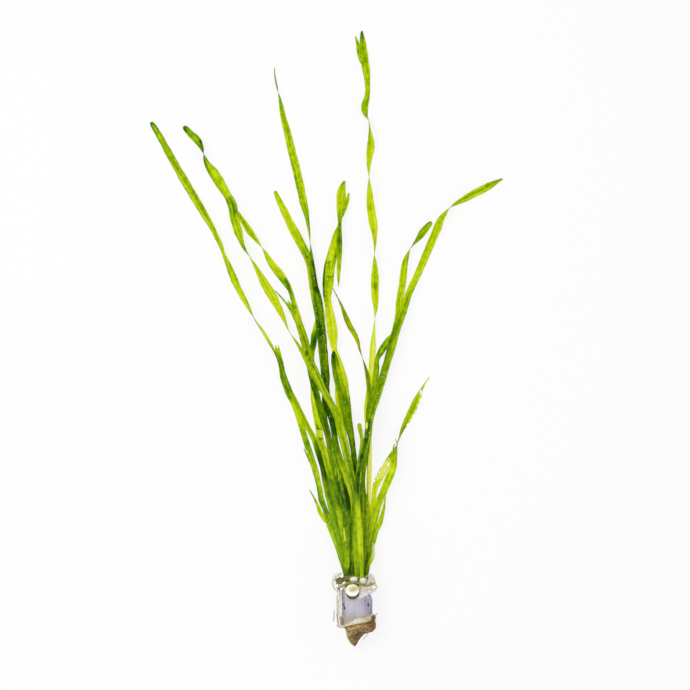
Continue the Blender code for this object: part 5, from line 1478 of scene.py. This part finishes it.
def tuft(random, boxes):
    routes = []
    for left, right, upper, lower, low, high, radius, shade_from, shade_to, along, down, count in boxes:
        for i in range(count):
            x, y, height = (random.uniform(*span) for span in ((left, right), (upper, lower), (low, high)))
            run, fall = along * random.uniform(-1, 1), down * random.uniform(0.4, 1)
            bow = (x + run * 0.5, y + fall * 0.5, height + 0.3)
            stations = [(x, y, height), bow, (x + run, y + fall, height)]
            route = crooked(routed(stations, FINE_STEP), 0.3 * MM, left + i * 2.3)
            radii = tapered(route, radius * random.uniform(0.5, 1.1) * MM, 0.4)
            routes.append((route, radii, random.uniform(shade_from, shade_to)))
    return routes


def make_strands(random):
    """The runner, the thick pale roots, and the fine roots and fibres round the mouth."""
    pale = fibre_surface("root_pale", PALE_STOPS, 0.4, 0.6)
    olive = fibre_surface("runner_olive", RUNNER_STOPS, 0.4, 0.2)
    for seed, (name, (stations, radius)) in enumerate(STRANDS.items()):
        route = crooked(routed(stations), 0.22 * MM, seed * 5.3)
        share = np.linspace(0, 1, len(route))
        swell = 0.86 + 0.14 * np.array([noise.noise((s * 9, seed * 3.3, 0.5)) for s in share])
        radii = radius * MM * swell * (0.55 + 0.45 * np.sin(math.pi * np.clip(share, 0.06, 0.94)) ** 0.4)
        shade, surface, slot = (0.45, olive, "crown") if name == "runner" else (0.72, pale, "pale_root")
        belongs(add_tubes(f"{name}_strand", [(route, radii, shade)], surface, 12), slot, name)

    routes = []
    for seed, (stations, radius, shade) in enumerate(FINE_ROOTS):
        route = crooked(routed(stations, FINE_STEP), 0.3 * MM, seed * 1.7)
        routes.append((route, tapered(route, radius * MM, 0.5), shade))
    for i in range(STRAY_ROOTS):
        down = random.uniform(*STRAY_DOWN)
        x = random.uniform(*STRAY_ACROSS)
        height = np.interp(down, *STRAY_HEIGHTS) + random.uniform(-3, 3)
        run = random.uniform(*STRAND_RUN)
        stations = [(x, down, height), (x + random.uniform(-1.2, 1), down + run / 2, height - run * 0.2)]
        stations.append((x + random.uniform(-1.5, 1.5), down + run, max(height - run * 0.4, 0.8)))
        route = crooked(routed(stations, 0.7 * MM), 0.35 * MM, i * 2.3)
        radii = tapered(route, random.uniform(*FIBRE_RADII) * MM, 0.4)
        routes.append((route, radii, random.uniform(0.75, 1)))
    routes += tuft(random, MOUTH_ROOTS)
    wool = fibre_surface("mouth_wool", WOOL_STOPS, 0.9, 0.1)
    belongs(add_tubes("mouth_fibres", tuft(random, MOUTH_WOOL), wool, 5), "wool")
    belongs(add_tubes("fine_roots", routes, pale, 6), "pale_root")
    belongs(add_tubes("shoot_fibres", tuft(random, SHOOT_TUFT), olive, 6), "crown")


# The crown: a short olive stem that every leaf grows from, down in the pot's mouth. Photograph row, half its
# width and half its height in millimetres
CROWN_ROWS = [(575.4, 9.4, 8.2), (578, 9.9, 8.6), (583, 9, 8.2), (588.5, 7.8, 7.2), (593.4, 6.2, 6)]
CROWN_MIDDLE = 355.6
CROWN_SQUARENESS = 0.65
CROWN_SIDES = 108
CROWN_CELLS = 26
SHEATHS = 9

# The side shoot at the crown's left: pixel place, height of the middle and half sizes in millimetres
SIDE_SHOOT = ((339.9, 579.6), 16.5, (1.5, 2.6, 2.2))


def crown_surface():
    """Sheathing leaf bases: green along the middle, olive and brown at the sides and lower down."""
    made = Surface("crown_sheath", {"Roughness": 0.42})
    places = made.places()
    across, up = made.add("SeparateXYZ", {0: places}, (0, 1))
    fibres = made.noise(places, (1.1, 0.12, 1.1), 5)
    clouds = made.noise(places, 0.28, 3)
    greens = [(0.2, (58, 74, 8)), (0.45, (104, 132, 10)), (0.62, (142, 170, 24)), (0.85, (186, 190, 80))]
    browns = [(0.2, (62, 52, 16)), (0.5, (118, 108, 34)), (0.8, (168, 158, 78))]
    share = made.spread(abs(across - 0.6), 3.5, 8.5) + (clouds - 0.5) * 1.4
    share = made.maths("MAXIMUM", made.spread(up, 21, 15) * 0.8, share, clamp=True)
    colour = made.blend(share, made.ramp(fibres, greens), made.ramp(fibres, browns))
    return made.finished(colour, fibres + clouds * 0.6, 0.3 * MM)


def squarish(share):
    """Pushes a circle's sine or cosine towards a rounded square."""
    return math.copysign(abs(share) ** CROWN_SQUARENESS, share)


def make_crown():
    """The stem with the fluted sheaths of its leaves round it."""
    downs, *columns = np.array(CROWN_ROWS).T
    middle = (CROWN_MIDDLE - POT_CENTRE[0]) * PIXEL
    rings = []
    for row, down in enumerate(np.linspace(downs[0], downs[-1], CROWN_CELLS + 1)):
        half_width, half_height = (np.interp(down, downs, column) * MM for column in columns)
        round_top = 1 - 0.16 * max(0, 1 - row / 4) ** 2
        ring = []
        for angle in np.linspace(0, 2 * math.pi, CROWN_SIDES, endpoint=False):
            flute = abs(math.sin(angle * SHEATHS + 0.6 * math.sin(down * 0.5)))
            lump = noise.noise((math.cos(angle) * 2.2, down * 0.12, math.sin(angle) * 2.2))
            swell = round_top * (0.91 + 0.07 * flute**0.6 - 0.05 * lump)
            x = middle + half_width * squarish(math.cos(angle)) * swell
            y = (POT_CENTRE[1] - down) * PIXEL + 0.35 * MM * flute * (row < 3)
            ring.append((x, y, CENTRE_HEIGHT + half_height * squarish(math.sin(angle)) * swell))
        rings.append(ring)
    surface = crown_surface()
    belongs(add_mesh("crown_stem", *capped(rings), surface), "crown", "crown")

    def folded(spot):
        return 0.93 + 0.06 * noise.noise(Vector((spot.x * 2.4, spot.y * 0.8, spot.z * 2.4)))

    spot, height, radii = SIDE_SHOOT
    belongs(add_ball("shoot_bulge", place(*spot, height), radii, 0, surface, folded), "crown", "side_shoot")


def stone_surface(name, light, dark, through):
    """Smooth pearly stone with faint clouds."""
    made = Surface(name, {"Roughness": 0.16, "IOR": 1.5, "Coat Weight": 0.5})
    places = made.places()
    stops = [(0.25, dark), (0.42, light), (0.9, (254, 253, 250))]
    colour = made.ramp(made.noise(places, 0.55, 4, distortion=0.6), stops)
    return made.finished(colour, made.noise(places, 2.4, 3), 0.03 * MM, through)


# White pebbles round the crown: pixel place, height of the middle and half sizes in millimetres, and turn
PEBBLES = {
    "pebble_middle": ((353.8, 578.6), 22.4, (3, 2.1, 2), 0.1),
    "pebble_right": ((362.6, 580), 21.6, (2.6, 2.5, 2.1), 0.3),
    "pebble_left": ((344.2, 582.6), 20.8, (1.9, 1.5, 1.4), 0.6),
    "pebble_side": ((370.4, 579.4), 19.2, (1.6, 2.5, 1.9), 0.5),
}


def make_pebbles():
    white = stone_surface("pebble_white", (250, 248, 243), (206, 198, 184), 0.3)
    glassy = stone_surface("pebble_glassy", (232, 228, 212), (166, 156, 132), 0.55)
    for seed, (name, (middle, height, radii, turn)) in enumerate(PEBBLES.items()):

        def worn(spot):
            lump = noise.noise(spot * 1.1 + Vector((seed * 4.7, 0, 0)))
            return 0.94 + 0.09 * lump + 0.035 * noise.noise(spot * 2.7 + Vector((0, seed * 3.9, 0)))

        surface = glassy if name == "pebble_side" else white
        belongs(add_ball(f"{name}_stone", place(*middle, height), radii, turn, surface, worn), "pebble", name)


# The round window: a pale rim round a dark dish, brown soil with painted shade of the gap below the lens,
# and an oval pebble lens that lies over its upper part. The rim's profile is reach from the middle and height
# in millimetres
WINDOW_MIDDLE = (352.6, 592.0)
WINDOW_BASE = 23.3
RIM_PROFILE = [
    (4.3, 0), (4.9, 0.02), (5.3, 0.15), (5.45, 0.5), (5.36, 0.8), (5.12, 0.98), (4.84, 0.96), (4.6, 0.7),
    (4.4, 0.35), (4, 0.2),
]
RIM_STEPS = 96
LENS_MIDDLE = (352.4, 589.1)
LENS_LEVEL = 25.8
LENS_HALF = (5.2, 4.7, 1.2)
LENS_BAND_MIDDLE = (0, 1.8, 0)
LENS_BAND_SCALE = (1 / 5.4, 1 / 4.1, 0)


def ring_surface():
    """A thin pale rim round a dark brown dish, which is brown soil with painted shade of the gap below the
    lens.
    """
    made = Surface("window_rim", {"Roughness": 0.28, "IOR": 1.5})
    places = made.places()
    reach = made.distance(places, place(*WINDOW_MIDDLE, 0) / MM, (1, 1, 0))
    grain = made.noise(places, 1.5, 4)
    # The dark brown dish is brown soil and painted shade of the gap below the lens
    dish_soil_and_shade = made.ramp(grain, [(0.3, (44, 26, 14)), (0.5, (96, 66, 40)), (0.7, (176, 138, 98))])
    rim = made.ramp(grain, [(0.3, (206, 200, 190)), (0.6, (234, 230, 222))])
    return made.finished(made.blend(made.spread(reach, 4.85, 5.2), dish_soil_and_shade, rim), grain, 0.06 * MM)


def lens_surface():
    """Cream above, a tan band across the middle and white below."""
    made = Surface("window_lens", {"Roughness": 0.12, "IOR": 1.5, "Coat Weight": 0.6})
    places = made.places()
    grain = made.noise(places, 0.9, 4)
    drift = (grain - 0.5) * 0.8
    up = made.add("SeparateXYZ", {0: places}, 1) + drift
    reach = made.distance(places, LENS_BAND_MIDDLE, LENS_BAND_SCALE) + drift * 0.2
    band = made.spread(reach, 1.05, 0.5) * made.spread(up, 2.7, 1.9)
    colour = made.blend(made.spread(up, -1.5, 2.0), opaque(252, 251, 246), opaque(224, 220, 196))
    return made.finished(made.blend(band * 0.95, colour, opaque(198, 180, 130)), grain, 0.05 * MM)


def make_window():
    angle = np.linspace(0, 2 * math.pi, RIM_STEPS, endpoint=False)
    rings = []
    for reach, height in RIM_PROFILE:
        waver = reach * MM * (1 - 0.006 * (1 + np.sin(3 * angle + reach)))
        level = np.full(RIM_STEPS, height * MM)
        ring = np.stack([waver * np.cos(angle), waver * np.sin(angle), level], axis=1)
        rings.append(place(*WINDOW_MIDDLE, WINDOW_BASE) + ring)
    belongs(add_mesh("window_rim", *capped(rings), ring_surface()), "ring", "window_ring")

    def worn(spot):
        return 0.97 + 0.05 * noise.noise(spot * 1.4)

    lens = add_ball("window_pebble", place(*LENS_MIDDLE, LENS_LEVEL), LENS_HALF, 0, lens_surface(), worn)
    belongs(lens, "pebble", "window_lens")


CAMERA_DISTANCE = 4.0
CAMERA_LEVEL = 8 * MM
CAMERA_SIGHT = 50
SENSOR = 36.0
TABLE_REACH = 8.0
TABLE_LEVEL = -0.4 * MM
KEY_SIZE = 0.7
KEY_PLACE = (-0.45, 0.35, 1.05)
KEY_TARGET = (0, 0.1, 0)


def make_camera():
    """Straight down on the plant, framed as the photograph is."""
    lens = bpy.data.cameras.new("camera")
    lens.sensor_width = SENSOR
    lens.lens = SENSOR * CAMERA_DISTANCE / (PHOTO_SIZE * PIXEL)
    lens.clip_end = CAMERA_SIGHT
    camera = linked("camera", lens)
    camera.location = (*place(PHOTO_SIZE / 2, PHOTO_SIZE / 2, 0)[:2], CAMERA_LEVEL + CAMERA_DISTANCE)
    bpy.context.scene.camera = camera


def make_table():
    """A white table that glows softly, so that light comes through the leaves."""
    made = Surface("table_white", {
        "Roughness": 0.9,
        "Base Color": (TABLE_COLOUR, TABLE_COLOUR, TABLE_COLOUR, 1),
        "Emission Color": (1, 1, 1, 1),
        "Emission Strength": TABLE_GLOW,
        "Specular IOR Level": 0,
    })
    mesh = bpy.data.meshes.new("table")
    ends = (-TABLE_REACH, TABLE_REACH)
    corners = [(x, y, TABLE_LEVEL) for y in ends for x in (ends if y < 0 else reversed(ends))]
    mesh.from_pydata(corners, [], [(0, 1, 2, 3)])
    mesh.materials.append(made.material)
    linked("table", mesh)


def make_light():
    """A white room and one large soft lamp above."""
    world = bpy.data.worlds.new("room")
    world.use_nodes = True
    sky = world.node_tree.nodes["Background"]
    sky.inputs["Color"].default_value = (1, 1, 1, 1)
    sky.inputs["Strength"].default_value = ROOM_LIGHT
    bpy.context.scene.world = world
    lamp = bpy.data.lights.new("key", "AREA")
    lamp.shape = "SQUARE"
    lamp.size = KEY_SIZE
    lamp.energy = KEY_POWER
    key = linked("key", lamp)
    key.location = KEY_PLACE
    key.rotation_euler = (Vector(KEY_TARGET) - key.location).to_track_quat("-Z", "Y").to_euler()
    bpy.context.scene.view_settings.view_transform = "Standard"


def main():
    random = np.random.default_rng(RANDOM_SEED)
    noise.seed_set(RANDOM_SEED)
    make_leaves()
    make_pot()
    make_wool(random)
    make_roots(random)
    make_strands(random)
    make_crown()
    make_pebbles()
    make_window()
    make_table()
    make_light()
    make_camera()


main()
